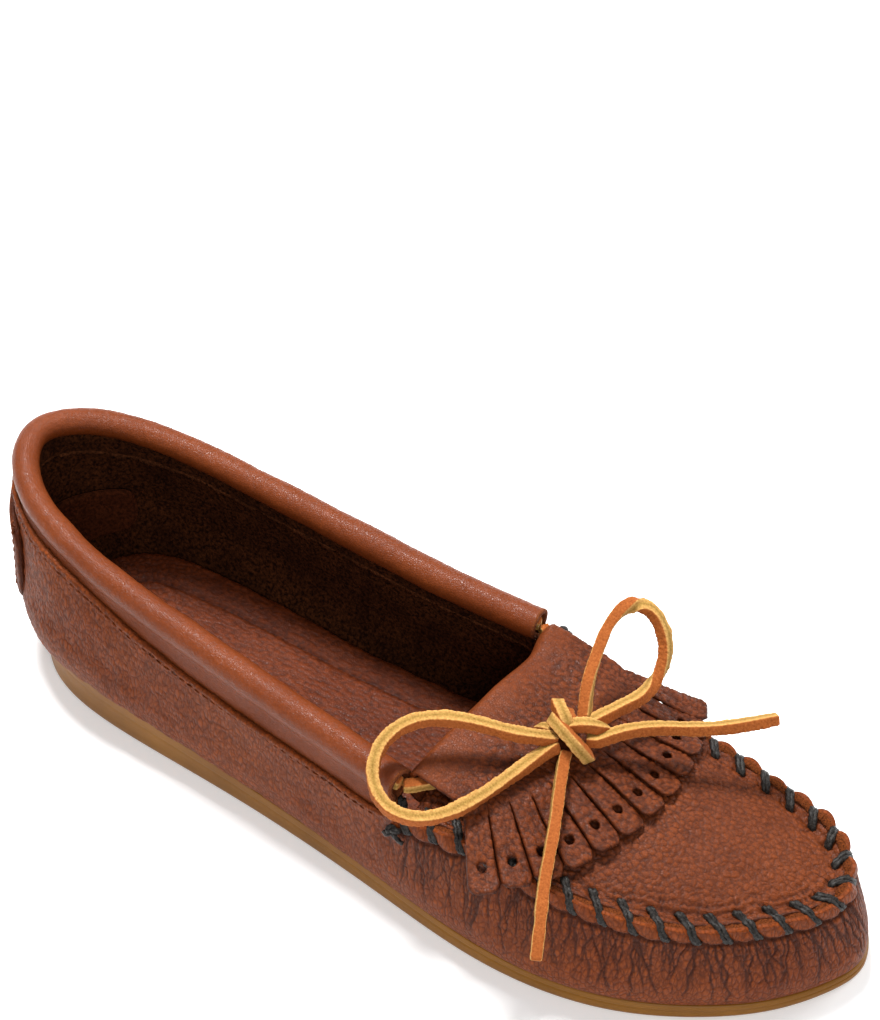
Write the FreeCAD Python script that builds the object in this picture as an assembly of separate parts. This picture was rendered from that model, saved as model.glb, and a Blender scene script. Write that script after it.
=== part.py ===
import FreeCAD, Part
import math
import os

V = FreeCAD.Vector

# ---------------------------------------------------------------------------
# A right-foot women's moccasin, millimetres. +X runs to the toe, +Y to the big
# toe side, +Z up. The origin lies on the ground under the middle of the sole.
# ---------------------------------------------------------------------------

# Heights of the three long tilted planes, at the heel end and at the toe end
HALF_LENGTH = 125.0
FEATHER_HEEL, FEATHER_TOE = 10.6, 3.7      # where the upper meets the rubber
BED_HEEL, BED_TOE = 4.8, 2.4               # the rubber's inner floor
SOLE_EDGE_Z = 1.6                          # top of the rounded lower edge

# Tread: straight grooves across the sole, none under the arch
GROOVE_W, GROOVE_DEPTH, GROOVE_LENGTH = 2.0, 0.8, 90.0
GROOVE_PITCH = 12.5
GROOVE_COUNT = 17
FIRST_GROOVE_X = -100.0
ARCH_FROM_X, ARCH_TO_X = -34.0, -4.0

# Leather and board thicknesses
BODY_T = 1.8
PLUG_T = 1.6
KILTIE_T = 1.6
FACING_T = 1.3
COUNTER_T = 1.0
COVER_T = 0.9
COUNTER_SPAN = 2.0                         # stations either side of the heel seam
TAB_T = 1.7
TAB_SPAN = 1.65
BOARD_T = 1.3
PAD_T = 1.7
LINER_T = 1.0
GAP = 0.1                                  # glue line between layers

WALL_HEIGHTS = [0.16, 0.3, 0.45, 0.6, 0.75, 0.88, 1.0]
SWELL_T = 0.35                             # height on the wall where it swells most

# How far each floor layer stays inside the sole's outline
GROUND_INSET = 1.6
SIDE_INSET = 0.3
RIM_INSET = 2.1
BODY_FLOOR_INSET = 2.9
BOARD_INSET = 5.9
PAD_INSET = 6.6
LINER_INSET = 5.3

# Rolled collar and lace
ROLL_R = 4.4
ROLL_BORE_R = 2.5
FACING_CLEARANCE = 0.25                    # between the facing's top and the roll
FACING_END = 0.15                          # its ends, in stations short of the throat
LACE_D = 3.2
LACE_IN_ROLL_D = 3.0
LACE_UNDER_D = 2.4
TUBE_SECTIONS = 33                         # circles that the roll is lofted through

# Whipstitch seam
STITCH_COUNT = 31
STITCH_R = 0.75
STITCH_LEAN = 3.4                          # how far each stitch slants along the seam
STITCH_IN, STITCH_OUT = 4.2, 1.3           # its reach over the plug and down the wall
STITCH_DROP = 3.6
KNOT_END_R = 1.1
KNOT_END_REACH = 3.2

# Machine sewing
SEWING_R = 0.35
SEWING_PITCH = 3.4
STITCH_FILL = 0.65                         # share of the pitch that the thread covers

# Fringe of the kiltie: a fan of strips
FAN_X, FAN_Y = 7.0, 6.5
STRIP_COUNT = 12
STRIP_STEP = math.radians(7.2)
FIRST_STRIP = math.radians(-48.6)
SLIT_R = 44.0
HOLE_R_FROM_FAN = 58.6
TIP_R = 65.3
SLIT_W = 0.5
PUNCH_R = 1.0
EYELET_R = 2.3
EYELETS = [(36.4, 0.2), (39.6, 8.6)]
TIP_ROUND = 2.6                            # how far a strip's rounded end reaches
FOLD_X = 21.5                              # the kiltie's folded edge
FOLD_LAP = 0.4                             # overlap of the fold with the flap
FOLD_NEAR_Y, FOLD_FAR_Y = -27.5, 30.0
FOLD_SECTIONS = 9
TAIL_X = 31.0                              # end of the turned-under tail
TAIL_GAP = 0.4
PLUG_BACK_X = 22.5
HEADROOM = 80.0                            # cutters reach from z = 0 to over the whole shoe

# Stations round the shoe from the heel, along the little toe side, round the
# toe and back: sole outline x, y; top edge of the body x, y, z; swell of the wall
STATIONS = [
    ((-118.8, -1.2), (-124.6, -0.5, 54.8), 5.0),
    ((-114.5, -12.8), (-119.5, -12.8, 53.5), 4.8),
    ((-102.5, -23.8), (-106.5, -22.2, 51.8), 4.0),
    ((-84.0, -29.4), (-88.0, -27.3, 49.2), 3.1),
    ((-58.0, -30.5), (-60.0, -30.2, 42.2), 2.6),
    ((-30.0, -31.0), (-30.0, -32.1, 38.2), 2.4),
    ((-2.0, -32.8), (-2.0, -34.2, 36.9), 2.4),
    ((20.0, -35.0), (17.0, -35.6, 37.2), 2.6),
    ((40.0, -36.6), (38.0, -33.5, 39.6), 2.8),
    ((60.0, -35.3), (58.5, -31.8, 36.7), 2.8),
    ((80.0, -29.4), (78.0, -27.0, 33.3), 2.4),
    ((98.0, -18.8), (95.0, -18.2, 30.6), 2.0),
    ((112.0, -6.2), (107.0, -6.3, 29.0), 1.8),
    ((121.0, 7.5), (114.0, 5.5, 28.4), 1.5),
    ((122.6, 17.0), (113.8, 15.0, 28.3), 0.6),
    ((116.5, 27.0), (108.5, 22.8, 28.9), 0.0),
    ((104.0, 34.0), (98.5, 27.2, 30.2), 0.3),
    ((84.0, 38.3), (81.0, 29.6, 32.8), 1.0),
    ((62.0, 38.6), (60.0, 30.5, 36.3), 1.6),
    ((40.0, 36.6), (36.0, 31.8, 39.8), 2.0),
    ((18.0, 33.0), (14.0, 35.0, 37.4), 2.4),
    ((-6.0, 29.4), (-6.0, 33.6, 36.8), 3.0),
    ((-34.0, 27.5), (-34.0, 31.8, 38.8), 3.2),
    ((-62.0, 27.0), (-62.0, 29.8, 42.6), 3.2),
    ((-87.0, 25.2), (-89.0, 27.0, 49.4), 3.2),
    ((-103.5, 20.4), (-107.0, 21.2, 51.9), 3.8),
    ((-114.5, 10.2), (-119.6, 11.6, 53.4), 4.6),
]
COUNT = len(STATIONS)
NEAR_THROAT, FAR_THROAT = 7, 20            # stations where the collar ends

# Centre line of the rolled collar on the little toe side, heel to throat
ROLL_LINE = [
    (-121.5, 0.0, 59.9),
    (-114.3, 12.6, 58.0),
    (-99.6, 19.9, 55.4),
    (-79.3, 23.9, 52.4),
    (-55.6, 25.8, 50.0),
    (-30.7, 27.4, 47.8),
    (-5.8, 28.9, 46.0),
    (17.4, 31.0, 45.4),
]

# Crown of the plug and of the kiltie: x, height of the middle line
PLUG_RIDGE = [(12, 45.6), (22, 45.0), (40, 44.2), (52, 43.2), (60, 42.0), (78, 38.6),
              (94, 34.8), (106, 31.4), (116, 28.5), (126, 26.5)]
KILTIE_RIDGE = [(12, 52.0), (22, 51.5), (40, 49.3), (60, 44.8), (74, 41.8), (86, 38.8)]
KILTIE_CROWN = [(12, 5.0), (22, 5.0), (40, 5.6), (60, 4.9), (74, 4.3), (86, 4.0)]
# Seam line of the plug: x, height, middle y, half width
SEAM_LINE = [(12, 40.0, 0.0, 34.0), (22, 39.8, 0.0, 33.5), (40, 39.6, -0.8, 32.5),
             (60, 36.5, -0.6, 31.2), (78, 33.2, 1.3, 28.5), (94, 30.5, 4.4, 23.2),
             (106, 29.0, 7.2, 16.0), (116, 28.3, 10.0, 10.0), (126, 27.5, 11.0, 8.0)]

# Free lace: hand-chosen route points, each from the knot outwards
KNOT = (46.8, -0.8, 53.2)
KNOT_HALF = (4.2, 4.2, 4.4)
NEAR_LEAD = [
    (18.2, -30.9, 45.3), (24.2, -25.0, 44.3), (29.8, -14.6, 45.5), (34.8, -4.0, 45.8),
    (36.4, -0.2, 47.8), (37.8, 0.2, 50.0), (41.6, -0.2, 52.6),
]
FAR_LEAD = [
    (18.2, 31.0, 45.3), (24.6, 27.0, 44.0), (31.2, 19.6, 44.7), (37.2, 12.2, 45.0),
    (39.4, 9.2, 47.4), (40.6, 7.6, 49.8), (43.8, 4.0, 52.4),
]
NEAR_LOOP = [
    (42.6, -5.0, 54.6), (36.8, -10.2, 57.2), (29.4, -13.8, 59.8), (21.0, -18.4, 61.2),
    (14.6, -23.4, 60.2), (11.4, -30.2, 57.4), (13.2, -37.6, 54.4), (19.6, -42.4, 51.6),
    (27.4, -41.2, 49.8), (33.2, -34.6, 49.0), (37.0, -26.4, 49.8), (40.2, -17.6, 51.0),
    (42.8, -10.0, 52.2), (44.2, -6.4, 52.6),
]
FAR_LOOP = [
    (47.2, 4.6, 55.6), (44.0, 10.0, 60.0), (40.8, 17.4, 63.4), (39.2, 24.8, 66.8),
    (40.8, 30.8, 68.8), (45.6, 33.4, 68.0), (50.4, 32.8, 63.6), (53.8, 29.8, 58.6),
    (55.0, 25.2, 54.6), (54.4, 18.8, 54.0), (52.4, 12.6, 55.2), (50.2, 6.6, 55.6),
    (49.0, 4.4, 55.2),
]
NEAR_TAIL = [
    (48.2, -6.0, 50.6), (50.6, -11.4, 49.4), (54.6, -19.2, 47.4), (58.4, -27.6, 45.6),
    (62.0, -36.0, 43.0), (65.0, -43.2, 39.6), (67.6, -49.6, 35.2),
]
FAR_TAIL = [
    (52.6, 2.0, 53.2), (56.6, 7.4, 52.4), (63.0, 14.0, 50.4), (70.2, 19.6, 48.8),
    (77.6, 26.4, 48.6), (84.6, 34.4, 49.6),
]

PARTS = {}


def lerp(a, b, t):
    return a + (b - a) * t


def table_value(table, x, column=1):
    """Straight-line lookup in a table of rows that start with x."""
    if x <= table[0][0]:
        return table[0][column]
    for low, high in zip(table, table[1:]):
        if x <= high[0]:
            return lerp(low[column], high[column], (x - low[0]) / (high[0] - low[0]))
    return table[-1][column]


def line(a, b):
    return Part.LineSegment(a, b).toShape()


def arc(a, b, c):
    return Part.Arc(a, b, c).toShape()


def plane_z(x, heel, toe):
    return lerp(heel, toe, (x + HALF_LENGTH) / (2 * HALF_LENGTH))


def feather_z(x):
    return plane_z(x, FEATHER_HEEL, FEATHER_TOE)


def bed_z(x):
    return plane_z(x, BED_HEEL, BED_TOE)


def outward(points):
    """Unit normals, in plan, of a closed ring that runs anticlockwise."""
    normals = []
    for i in range(len(points)):
        before = points[i - 1]
        after = points[(i + 1) % len(points)]
        dx = after[0] - before[0]
        dy = after[1] - before[1]
        size = math.hypot(dx, dy)
        normals.append((dy / size, -dx / size))
    return normals


OUTLINE = [s[0] for s in STATIONS]
OUTLINE_N = outward(OUTLINE)
TOP_N = outward([s[1] for s in STATIONS])


def sole_ring(inset, height):
    """Points on the sole's outline moved in by inset; height is a function of x."""
    ring = []
    for (x, y), (nx, ny) in zip(OUTLINE, OUTLINE_N):
        px = x - nx * inset
        ring.append(V(px, y - ny * inset, height(px)))
    return ring


def wall_point(i, t, inward=0.0):
    """Point on the body's wall at station i: t is 0 at the feather and 1 at the
    top edge, and inward is the depth below the outer surface."""
    (x0, y0), (x1, y1, z1), swell = STATIONS[i]
    nx = lerp(OUTLINE_N[i][0], TOP_N[i][0], t)
    ny = lerp(OUTLINE_N[i][1], TOP_N[i][1], t)
    lean = t * t
    rise = 1 - (1 - min(t, SWELL_T) / SWELL_T) ** 2
    fall = (1 - max(0.0, t - SWELL_T) / (1 - SWELL_T)) ** 0.8
    bulge = swell * rise * fall
    push = bulge - inward
    z0 = feather_z(x0) + 0.3
    return V(lerp(x0, x1, lean) + nx * push, lerp(y0, y1, lean) + ny * push, lerp(z0, z1, t))


def wall_ring(t, inward=0.0):
    return [wall_point(i, t, inward) for i in range(COUNT)]


def closed_curve(points):
    """Smooth closed curve; point i lies at parameter i / count."""
    curve = Part.BSplineCurve()
    knots = [i / len(points) for i in range(len(points) + 1)]
    curve.interpolate(Points=points, PeriodicFlag=True, Parameters=knots)
    return curve


def closed_edge(points):
    return closed_curve(points).toShape()


def closed_wire(points):
    return Part.Wire([closed_edge(points)])


def ring_band(rings, ruled=False):
    """Surface through closed rings of points."""
    return Part.makeLoft([closed_wire(r) for r in rings], False, ruled).Faces


def closed_solid(faces):
    """One solid from faces that meet edge to edge."""
    compound = Part.makeCompound(faces)
    compound.sewShape(0.01)
    solid = Part.Solid(compound.Shells[0])
    if solid.Volume < 0:
        solid.reverse()
    return solid


def plate(outer, inner):
    """Closed solid between two grids of points that face each other."""
    surfaces = []
    for grid in (outer, inner):
        surface = Part.BSplineSurface()
        surface.interpolate(grid)
        surfaces.append(surface)
    faces = [surface.toShape() for surface in surfaces]
    for isoline in ("uIso", "vIso"):
        for end in (0.0, 1.0):
            pair = [getattr(surface, isoline)(end).toShape() for surface in surfaces]
            faces.append(Part.makeRuledSurface(*pair))
    return closed_solid(faces)


def wall_grid(first, last, columns, heights, depth):
    """Points on the wall from station first to station last, column by column."""
    rows = [closed_curve(wall_ring(t, depth)) for t in heights]
    places = [(lerp(first, last, k / (columns - 1)) / COUNT) % 1.0 for k in range(columns)]
    return [[row.value(place) for row in rows] for place in places]


def wall_plate(first, last, columns, heights, depth, thickness):
    """Patch that follows the wall, from depth to depth plus thickness."""
    outer = wall_grid(first, last, columns, heights, depth)
    inner = wall_grid(first, last, columns, heights, depth + thickness)
    return plate(outer, inner)


def slab(inset, above, thickness):
    """Floor layer parallel to the rubber's inner floor."""
    low = closed_wire(sole_ring(inset, lambda x: bed_z(x) + above))
    high = closed_wire(sole_ring(inset, lambda x: bed_z(x) + above + thickness))
    return Part.makeLoft([low, high], True, True)


def add(name, shape):
    PARTS[name] = shape


# --------------------------------------------------------------------------- sole
def make_outsole():
    ground = closed_wire(sole_ring(GROUND_INSET, lambda x: 0.0))
    edge = closed_wire(sole_ring(SIDE_INSET, lambda x: SOLE_EDGE_Z))
    top = closed_wire(sole_ring(SIDE_INSET, feather_z))
    body = Part.makeLoft([ground, edge], True, True).fuse(Part.makeLoft([edge, top], True, True))
    cup_low = closed_wire(sole_ring(RIM_INSET + 0.5, bed_z))
    cup_high = closed_wire(sole_ring(RIM_INSET, lambda x: feather_z(x) + 2.0))
    body = body.cut(Part.makeLoft([cup_low, cup_high], True, True))
    grooves = []
    for k in range(GROOVE_COUNT):
        x = FIRST_GROOVE_X + GROOVE_PITCH * k
        if not ARCH_FROM_X < x < ARCH_TO_X:
            corner = V(x, -GROOVE_LENGTH / 2, -GROOVE_DEPTH)
            grooves.append(Part.makeBox(GROOVE_W, GROOVE_LENGTH, 2 * GROOVE_DEPTH, corner))
    return body.cut(grooves).Solids[0]


# --------------------------------------------------------------------------- upper
def make_body():
    floor_low = sole_ring(BODY_FLOOR_INSET, lambda x: bed_z(x) + GAP)
    tuck = sole_ring(RIM_INSET + 0.3, lambda x: feather_z(x) + 0.3)
    floor_high = sole_ring(BODY_FLOOR_INSET + BODY_T, lambda x: bed_z(x) + GAP + BODY_T - 0.4)
    outer = [wall_ring(t) for t in [0.0] + WALL_HEIGHTS]
    inner = [floor_high, wall_ring(0.06, BODY_T + 0.8)]
    inner += [wall_ring(t, BODY_T) for t in WALL_HEIGHTS]
    faces = ring_band([floor_low, tuck], ruled=True)
    faces += ring_band([tuck, outer[0]], ruled=True)
    faces += ring_band(outer)
    faces += ring_band([outer[-1], inner[-1]], ruled=True)
    faces += ring_band(inner)
    faces.append(Part.Face(closed_wire(floor_low)))
    faces.append(Part.Face(closed_wire(floor_high)))
    return closed_solid(faces)


def seam_u(x, y):
    middle = table_value(SEAM_LINE, x, 2)
    half = table_value(SEAM_LINE, x, 3)
    return (y - middle) / half


def plug_z(x, y):
    edge = table_value(SEAM_LINE, x, 1)
    ridge = table_value(PLUG_RIDGE, x)
    return edge + (ridge - edge) * (1 - seam_u(x, y) ** 2)


def kiltie_z(x, y):
    ridge = table_value(KILTIE_RIDGE, x)
    u = abs(seam_u(x, y))
    droop = u * u if u < 1 else 1 + 1.2 * (u - 1)
    return ridge - table_value(KILTIE_CROWN, x) * droop


def sheet_plate(height, thickness, xs, ys):
    """Crowned sheet over a rectangle, its top at height(x, y)."""
    top = [[V(x, y, height(x, y)) for y in ys] for x in xs]
    under = [[V(x, y, height(x, y) - thickness) for y in ys] for x in xs]
    return plate(top, under)


def make_plug():
    sheet = sheet_plate(plug_z, PLUG_T, [PLUG_BACK_X, 34, 46, 62, 78, 94, 108, 122],
                        [-42, -30, -18, -6, 6, 18, 30, 42])
    edge = []
    for i in range(NEAR_THROAT, FAR_THROAT + 1):
        x, y, z = STATIONS[i][1]
        inset = BODY_T + 0.5
        edge.append(V(x - TOP_N[i][0] * inset, y - TOP_N[i][1] * inset, 0))
    curve = Part.BSplineCurve()
    curve.interpolate(edge)
    outline = Part.Wire([curve.toShape(), line(edge[-1], edge[0])])
    prism = Part.Face(outline).extrude(V(0, 0, HEADROOM))
    return sheet.common(prism).Solids[0]


def fan_point(radius, angle, z=0.0):
    return V(FAN_X + radius * math.cos(angle), FAN_Y + radius * math.sin(angle), z)


def fringe_outline():
    """Kiltie in plan: folded edge, two sides, and strips with rounded tips."""
    shoulder_r = TIP_R - TIP_ROUND
    root_half = STRIP_STEP / 2 - SLIT_W / 2 / SLIT_R
    tip_half = STRIP_STEP / 2 - SLIT_W / 2 / TIP_R
    start = V(FOLD_X, FOLD_NEAR_Y, 0)
    edges = []
    at = start
    for k in range(STRIP_COUNT):
        middle = FIRST_STRIP + STRIP_STEP * k
        low = fan_point(SLIT_R, middle - root_half)
        low_tip = fan_point(shoulder_r, middle - tip_half)
        high_tip = fan_point(shoulder_r, middle + tip_half)
        high = fan_point(SLIT_R, middle + root_half)
        edges.append(line(at, low))
        edges.append(line(low, low_tip))
        edges.append(arc(low_tip, fan_point(TIP_R, middle), high_tip))
        edges.append(line(high_tip, high))
        at = high
    corner = V(FOLD_X, FOLD_FAR_Y, 0)
    edges.append(line(at, corner))
    edges.append(line(corner, start))
    return Part.Wire(edges)


def fold_section(y):
    """Section of the kiltie's fold at y: round the edge and back under the plug."""
    top = kiltie_z(FOLD_X, y)
    under = plug_z(FOLD_X, y) - PLUG_T - TAIL_GAP
    low = under - KILTIE_T
    tail_top = plug_z(TAIL_X, y) - PLUG_T - TAIL_GAP
    middle = (top + low) / 2
    outer_depth = 0.55 * (top - low) / 2
    inner_depth = outer_depth - 0.55 * KILTIE_T

    outer_top = V(FOLD_X, y, top)
    outer_low = V(FOLD_X, y, low)
    tail_end_low = V(TAIL_X, y, tail_top - KILTIE_T)
    tail_end_top = V(TAIL_X, y, tail_top)
    inner_low = V(FOLD_X, y, under)
    inner_top = V(FOLD_X, y, top - KILTIE_T)
    lap_low = V(FOLD_X + FOLD_LAP, y, top - KILTIE_T)
    lap_top = V(FOLD_X + FOLD_LAP, y, top - 0.05)
    return Part.Wire([
        line(lap_top, outer_top),
        arc(outer_top, V(FOLD_X - outer_depth, y, middle), outer_low),
        line(outer_low, tail_end_low),
        line(tail_end_low, tail_end_top),
        line(tail_end_top, inner_low),
        arc(inner_low, V(FOLD_X - inner_depth, y, middle), inner_top),
        line(inner_top, lap_low),
        line(lap_low, lap_top),
    ])


def make_kiltie():
    sheet = sheet_plate(kiltie_z, KILTIE_T, [16, 28, 40, 52, 64, 78],
                        [-48, -36, -24, -12, 0, 12, 24, 36, 48])
    flap = sheet.common(Part.Face(fringe_outline()).extrude(V(0, 0, HEADROOM)))
    punches = []
    for k in range(STRIP_COUNT):
        spot = fan_point(HOLE_R_FROM_FAN, FIRST_STRIP + STRIP_STEP * k)
        punches.append(Part.makeCylinder(PUNCH_R, HEADROOM, spot))
    for x, y in EYELETS:
        punches.append(Part.makeCylinder(EYELET_R, HEADROOM, V(x, y, 0)))
    sections = []
    for k in range(FOLD_SECTIONS):
        sections.append(fold_section(lerp(FOLD_NEAR_Y, FOLD_FAR_Y, k / (FOLD_SECTIONS - 1))))
    fold = Part.makeLoft(sections, True, False)
    return flap.cut(punches).fuse(fold).Solids[0]


# --------------------------------------------------------------------------- collar
def roll_points():
    near = [V(x, -y, z) for x, y, z in reversed(ROLL_LINE)]
    far = [V(x, y, z) for x, y, z in ROLL_LINE[1:]]
    return near + far


def open_curve(points):
    curve = Part.BSplineCurve()
    curve.interpolate(points)
    return curve


def tube_along(curve, radius):
    """Round solid lofted through circles set square to a curve."""
    wires = []
    first, last = curve.FirstParameter, curve.LastParameter
    for k in range(TUBE_SECTIONS):
        u = lerp(first, last, k / (TUBE_SECTIONS - 1))
        direction = curve.tangent(u)[0]
        circle = Part.Circle(curve.value(u), direction, radius)
        circle.XAxis = direction.cross(V(0, 0, 1)).normalize()
        wires.append(Part.Wire([circle.toShape()]))
    return Part.makeLoft(wires, True, False)


def make_roll(curve):
    return tube_along(curve, ROLL_R).cut(tube_along(curve, ROLL_BORE_R)).Solids[0]


def make_facing(curve):
    """Turned-down edge of the collar, from inside the wall up to the roll."""
    depth = BODY_T + 0.25
    first = FAR_THROAT + FACING_END
    last = COUNT + NEAR_THROAT - FACING_END
    wall = wall_grid(first, last, 27, [0.78, 0.88, 0.97], depth)
    outer, inner = [], []
    for rows in wall:
        edge = rows[-1]
        roll = curve.value(curve.parameter(edge + V(0, 0, 8)))
        out = V(edge.x - roll.x, edge.y - roll.y, 0)
        beside = max(0.0, out.Length - FACING_T)
        below = math.sqrt((ROLL_R + FACING_CLEARANCE) ** 2 - beside ** 2)
        rows = rows + [V(edge.x, edge.y, max(roll.z - below, edge.z + 0.8))]
        out.normalize()
        outer.append(rows)
        inner.append([p - out * FACING_T for p in rows])
    return plate(outer, inner)


# --------------------------------------------------------------------------- thread
def thread(points, radius):
    """Round thread through three points, with flat ends."""
    a, b, c = points
    path = arc(a, b, c)
    direction = path.tangentAt(path.FirstParameter)
    circle = Part.Wire([Part.Circle(a, direction, radius).toShape()])
    return Part.Wire([path]).makePipeShell([circle], True, False)


def short_stitch(a, b, radius):
    return Part.makeCylinder(radius, (b - a).Length, a, b - a)


def seam_frame(edge, u):
    """Place on the top edge: point, direction along it, outward direction."""
    point = edge.valueAt(u)
    along = edge.tangentAt(u)
    out = V(along.y, -along.x, 0).normalize()
    return point, along, out


def make_whipstitch(edge, first, last):
    stitches = []
    pitch = edge.Curve.length(first, last) / STITCH_COUNT
    for k in range(STITCH_COUNT):
        u = edge.Curve.parameterAtDistance(pitch * (k + 0.5), first)
        point, along, out = seam_frame(edge, u)
        slant = along * (STITCH_LEAN / 2)
        inside = point - out * STITCH_IN - slant
        inside.z = plug_z(inside.x, inside.y) + 0.2
        over = point - out * 0.8 + V(0, 0, 0.9)
        outside = point + out * STITCH_OUT + slant - V(0, 0, STITCH_DROP)
        stitches.append(thread((inside, over, outside), STITCH_R))
    return Part.makeCompound(stitches)


def make_knot_thread(edge, u):
    """Two turned ends of thread where the whipstitch starts or stops."""
    point, along, out = seam_frame(edge, u)
    base = point + out * 1.7 - V(0, 0, 3.0)
    ends = []
    for side in (-1, 1):
        tip = base + along * (KNOT_END_REACH * side) + out - V(0, 0, KNOT_END_REACH + side)
        ends.append(short_stitch(base + along * side + out * 0.5, tip, KNOT_END_R))
    return Part.makeCompound(ends)


def stitch_row(points):
    """Stitches end to end along a row of points, with a gap after each."""
    stitches = []
    for a, b in zip(points, points[1:]):
        stitches.append(short_stitch(a, a + (b - a) * STITCH_FILL, SEWING_R))
    return stitches


def spaced(curve, first, last):
    """Evenly spaced points on a curve between two parameters."""
    edge = curve.toShape(first, last)
    count = max(2, round(edge.Length / SEWING_PITCH) + 1)
    return edge.discretize(Number=count)


def make_collar_stitching():
    row = closed_curve([p - V(0, 0, 1.6) for p in wall_ring(1.0)])
    heel_to_near = spaced(row, 0.0, (NEAR_THROAT - 0.2) / COUNT)
    far_to_heel = spaced(row, (FAR_THROAT + 0.2) / COUNT, 1.0)
    return Part.makeCompound(stitch_row(heel_to_near) + stitch_row(far_to_heel))


def make_tab_stitching():
    """Down one side of the heel tab, along its foot and up the other side."""
    depth = -GAP - TAB_T
    reach = TAB_SPAN - 0.14
    rows = wall_grid(COUNT - reach, COUNT + reach, 13, [0.28, 0.5, 0.75, 0.96], depth)
    foot = [column[0] for column in rows]
    stitches = []
    for line in (rows[0], foot, rows[-1]):
        curve = Part.BSplineCurve()
        curve.interpolate(line)
        stitches += stitch_row(spaced(curve, curve.FirstParameter, curve.LastParameter))
    return Part.makeCompound(stitches)


def make_heel_seam():
    """Upright seam at the back of the heel, where the body's two ends meet."""
    line = wall_grid(COUNT, COUNT + 0.1, 2, [0.2, 0.5, 0.75, 0.95], SEWING_R + 0.1)[0]
    curve = Part.BSplineCurve()
    curve.interpolate(line)
    return Part.makeCompound(stitch_row(spaced(curve, curve.FirstParameter, curve.LastParameter)))


def make_kiltie_stitching():
    """Row that holds the kiltie's turned-under tail to the plug."""
    x = TAIL_X - 3
    points = []
    for k in range(14):
        y = lerp(FOLD_NEAR_Y + 2, FOLD_FAR_Y - 2, k / 13)
        points.append(V(x, y, plug_z(x, y) - PLUG_T - TAIL_GAP - KILTIE_T))
    return Part.makeCompound(stitch_row(points))


# --------------------------------------------------------------------------- lace
def cord_tube(name, points, diameter):
    """Tube along straight runs joined by tangent arcs."""
    points = [V(*p) for p in points]
    edges = []
    radii = []
    at = points[0]
    for before, corner, after in zip(points, points[1:], points[2:]):
        run_in = corner - before
        run_out = after - corner
        turn = run_in.getAngle(run_out)
        setback = 0.45 * min(run_in.Length, run_out.Length)
        radii.append(setback / math.tan(turn / 2))
        back = (before - corner).normalize()
        ahead = (after - corner).normalize()
        start = corner + back * setback
        end = corner + ahead * setback
        bisector = (back + ahead).normalize()
        centre = corner + bisector * (radii[-1] / math.cos(turn / 2))
        middle = centre - bisector * radii[-1]
        edges.append(line(at, start))
        edges.append(arc(start, middle, end))
        at = end
    edges.append(line(at, points[-1]))
    path = Part.Wire(edges)
    circle = Part.Wire([Part.Circle(points[0], points[1] - points[0], diameter / 2).toShape()])
    tube = path.makePipeShell([circle], True, False)
    ideal = math.pi * diameter ** 2 / 4 * path.Length
    print(name, "length %.1f volume ratio %.3f" % (path.Length, tube.Volume / ideal),
          "radii", " ".join("%.1f" % r for r in radii))
    return tube


def make_knot():
    ball = Part.makeSphere(1.0)
    matrix = FreeCAD.Matrix()
    matrix.scale(V(*KNOT_HALF))
    matrix.move(V(*KNOT))
    return ball.transformGeometry(matrix)


def make_all():
    add("outsole", make_outsole())
    add("moccasin_body", make_body())
    add("plug", make_plug())
    add("kiltie", make_kiltie())

    stack = GAP + BODY_T - 0.4 + GAP
    add("insole_board", slab(BOARD_INSET, stack, BOARD_T))
    stack += BOARD_T + GAP
    add("cushion_pad", slab(PAD_INSET, stack, PAD_T))
    stack += PAD_T + GAP
    add("sock_liner", slab(LINER_INSET, stack, LINER_T))

    depth = BODY_T + 0.25
    heights = [0.14, 0.24, 0.34, 0.44]
    ends = (COUNT - COUNTER_SPAN, COUNT + COUNTER_SPAN)
    add("heel_counter", wall_plate(*ends, 13, heights, depth, COUNTER_T))
    depth += COUNTER_T + GAP
    add("counter_cover", wall_plate(*ends, 13, heights, depth, COVER_T))
    tab_heights = [0.25, 0.45, 0.6, 0.75, 0.99]
    ends = (COUNT - TAB_SPAN, COUNT + TAB_SPAN)
    add("heel_tab", wall_plate(*ends, 13, tab_heights, -0.15 - TAB_T, TAB_T))
    add("heel_tab_stitching", make_tab_stitching())
    add("heel_seam_stitching", make_heel_seam())
    add("collar_stitching", make_collar_stitching())
    add("kiltie_stitching", make_kiltie_stitching())

    roll = open_curve(roll_points())
    add("collar_roll", make_roll(roll))
    add("collar_facing", make_facing(roll))
    add("lace_collar_run", tube_along(roll, LACE_IN_ROLL_D / 2))

    top = closed_edge([V(*s[1]) for s in STATIONS])
    first = NEAR_THROAT / COUNT
    last = FAR_THROAT / COUNT
    add("whipstitch_thread", make_whipstitch(top, first, last))
    add("whipstitch_knot_near", make_knot_thread(top, first + 0.002))
    add("whipstitch_knot_far", make_knot_thread(top, last - 0.002))

    add("lace_lead_near", cord_tube("lace_lead_near", NEAR_LEAD, LACE_UNDER_D))
    add("lace_lead_far", cord_tube("lace_lead_far", FAR_LEAD, LACE_UNDER_D))
    add("lace_knot", make_knot())
    add("lace_loop_near", cord_tube("lace_loop_near", NEAR_LOOP, LACE_D))
    add("lace_loop_far", cord_tube("lace_loop_far", FAR_LOOP, LACE_D))
    add("lace_tail_near", cord_tube("lace_tail_near", NEAR_TAIL, LACE_D))
    add("lace_tail_far", cord_tube("lace_tail_far", FAR_TAIL, LACE_D))


make_all()
os.makedirs("parts", exist_ok=True)
for name, shape in PARTS.items():
    box = shape.BoundBox
    print("%-22s solids %d valid %s volume %.1f box %.1f..%.1f %.1f..%.1f %.1f..%.1f" % (
        name, len(shape.Solids), shape.isValid(), shape.Volume,
        box.XMin, box.XMax, box.YMin, box.YMax, box.ZMin, box.ZMax))
    shape.exportStep("parts/%s.step" % name)
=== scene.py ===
import math
import random

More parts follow.
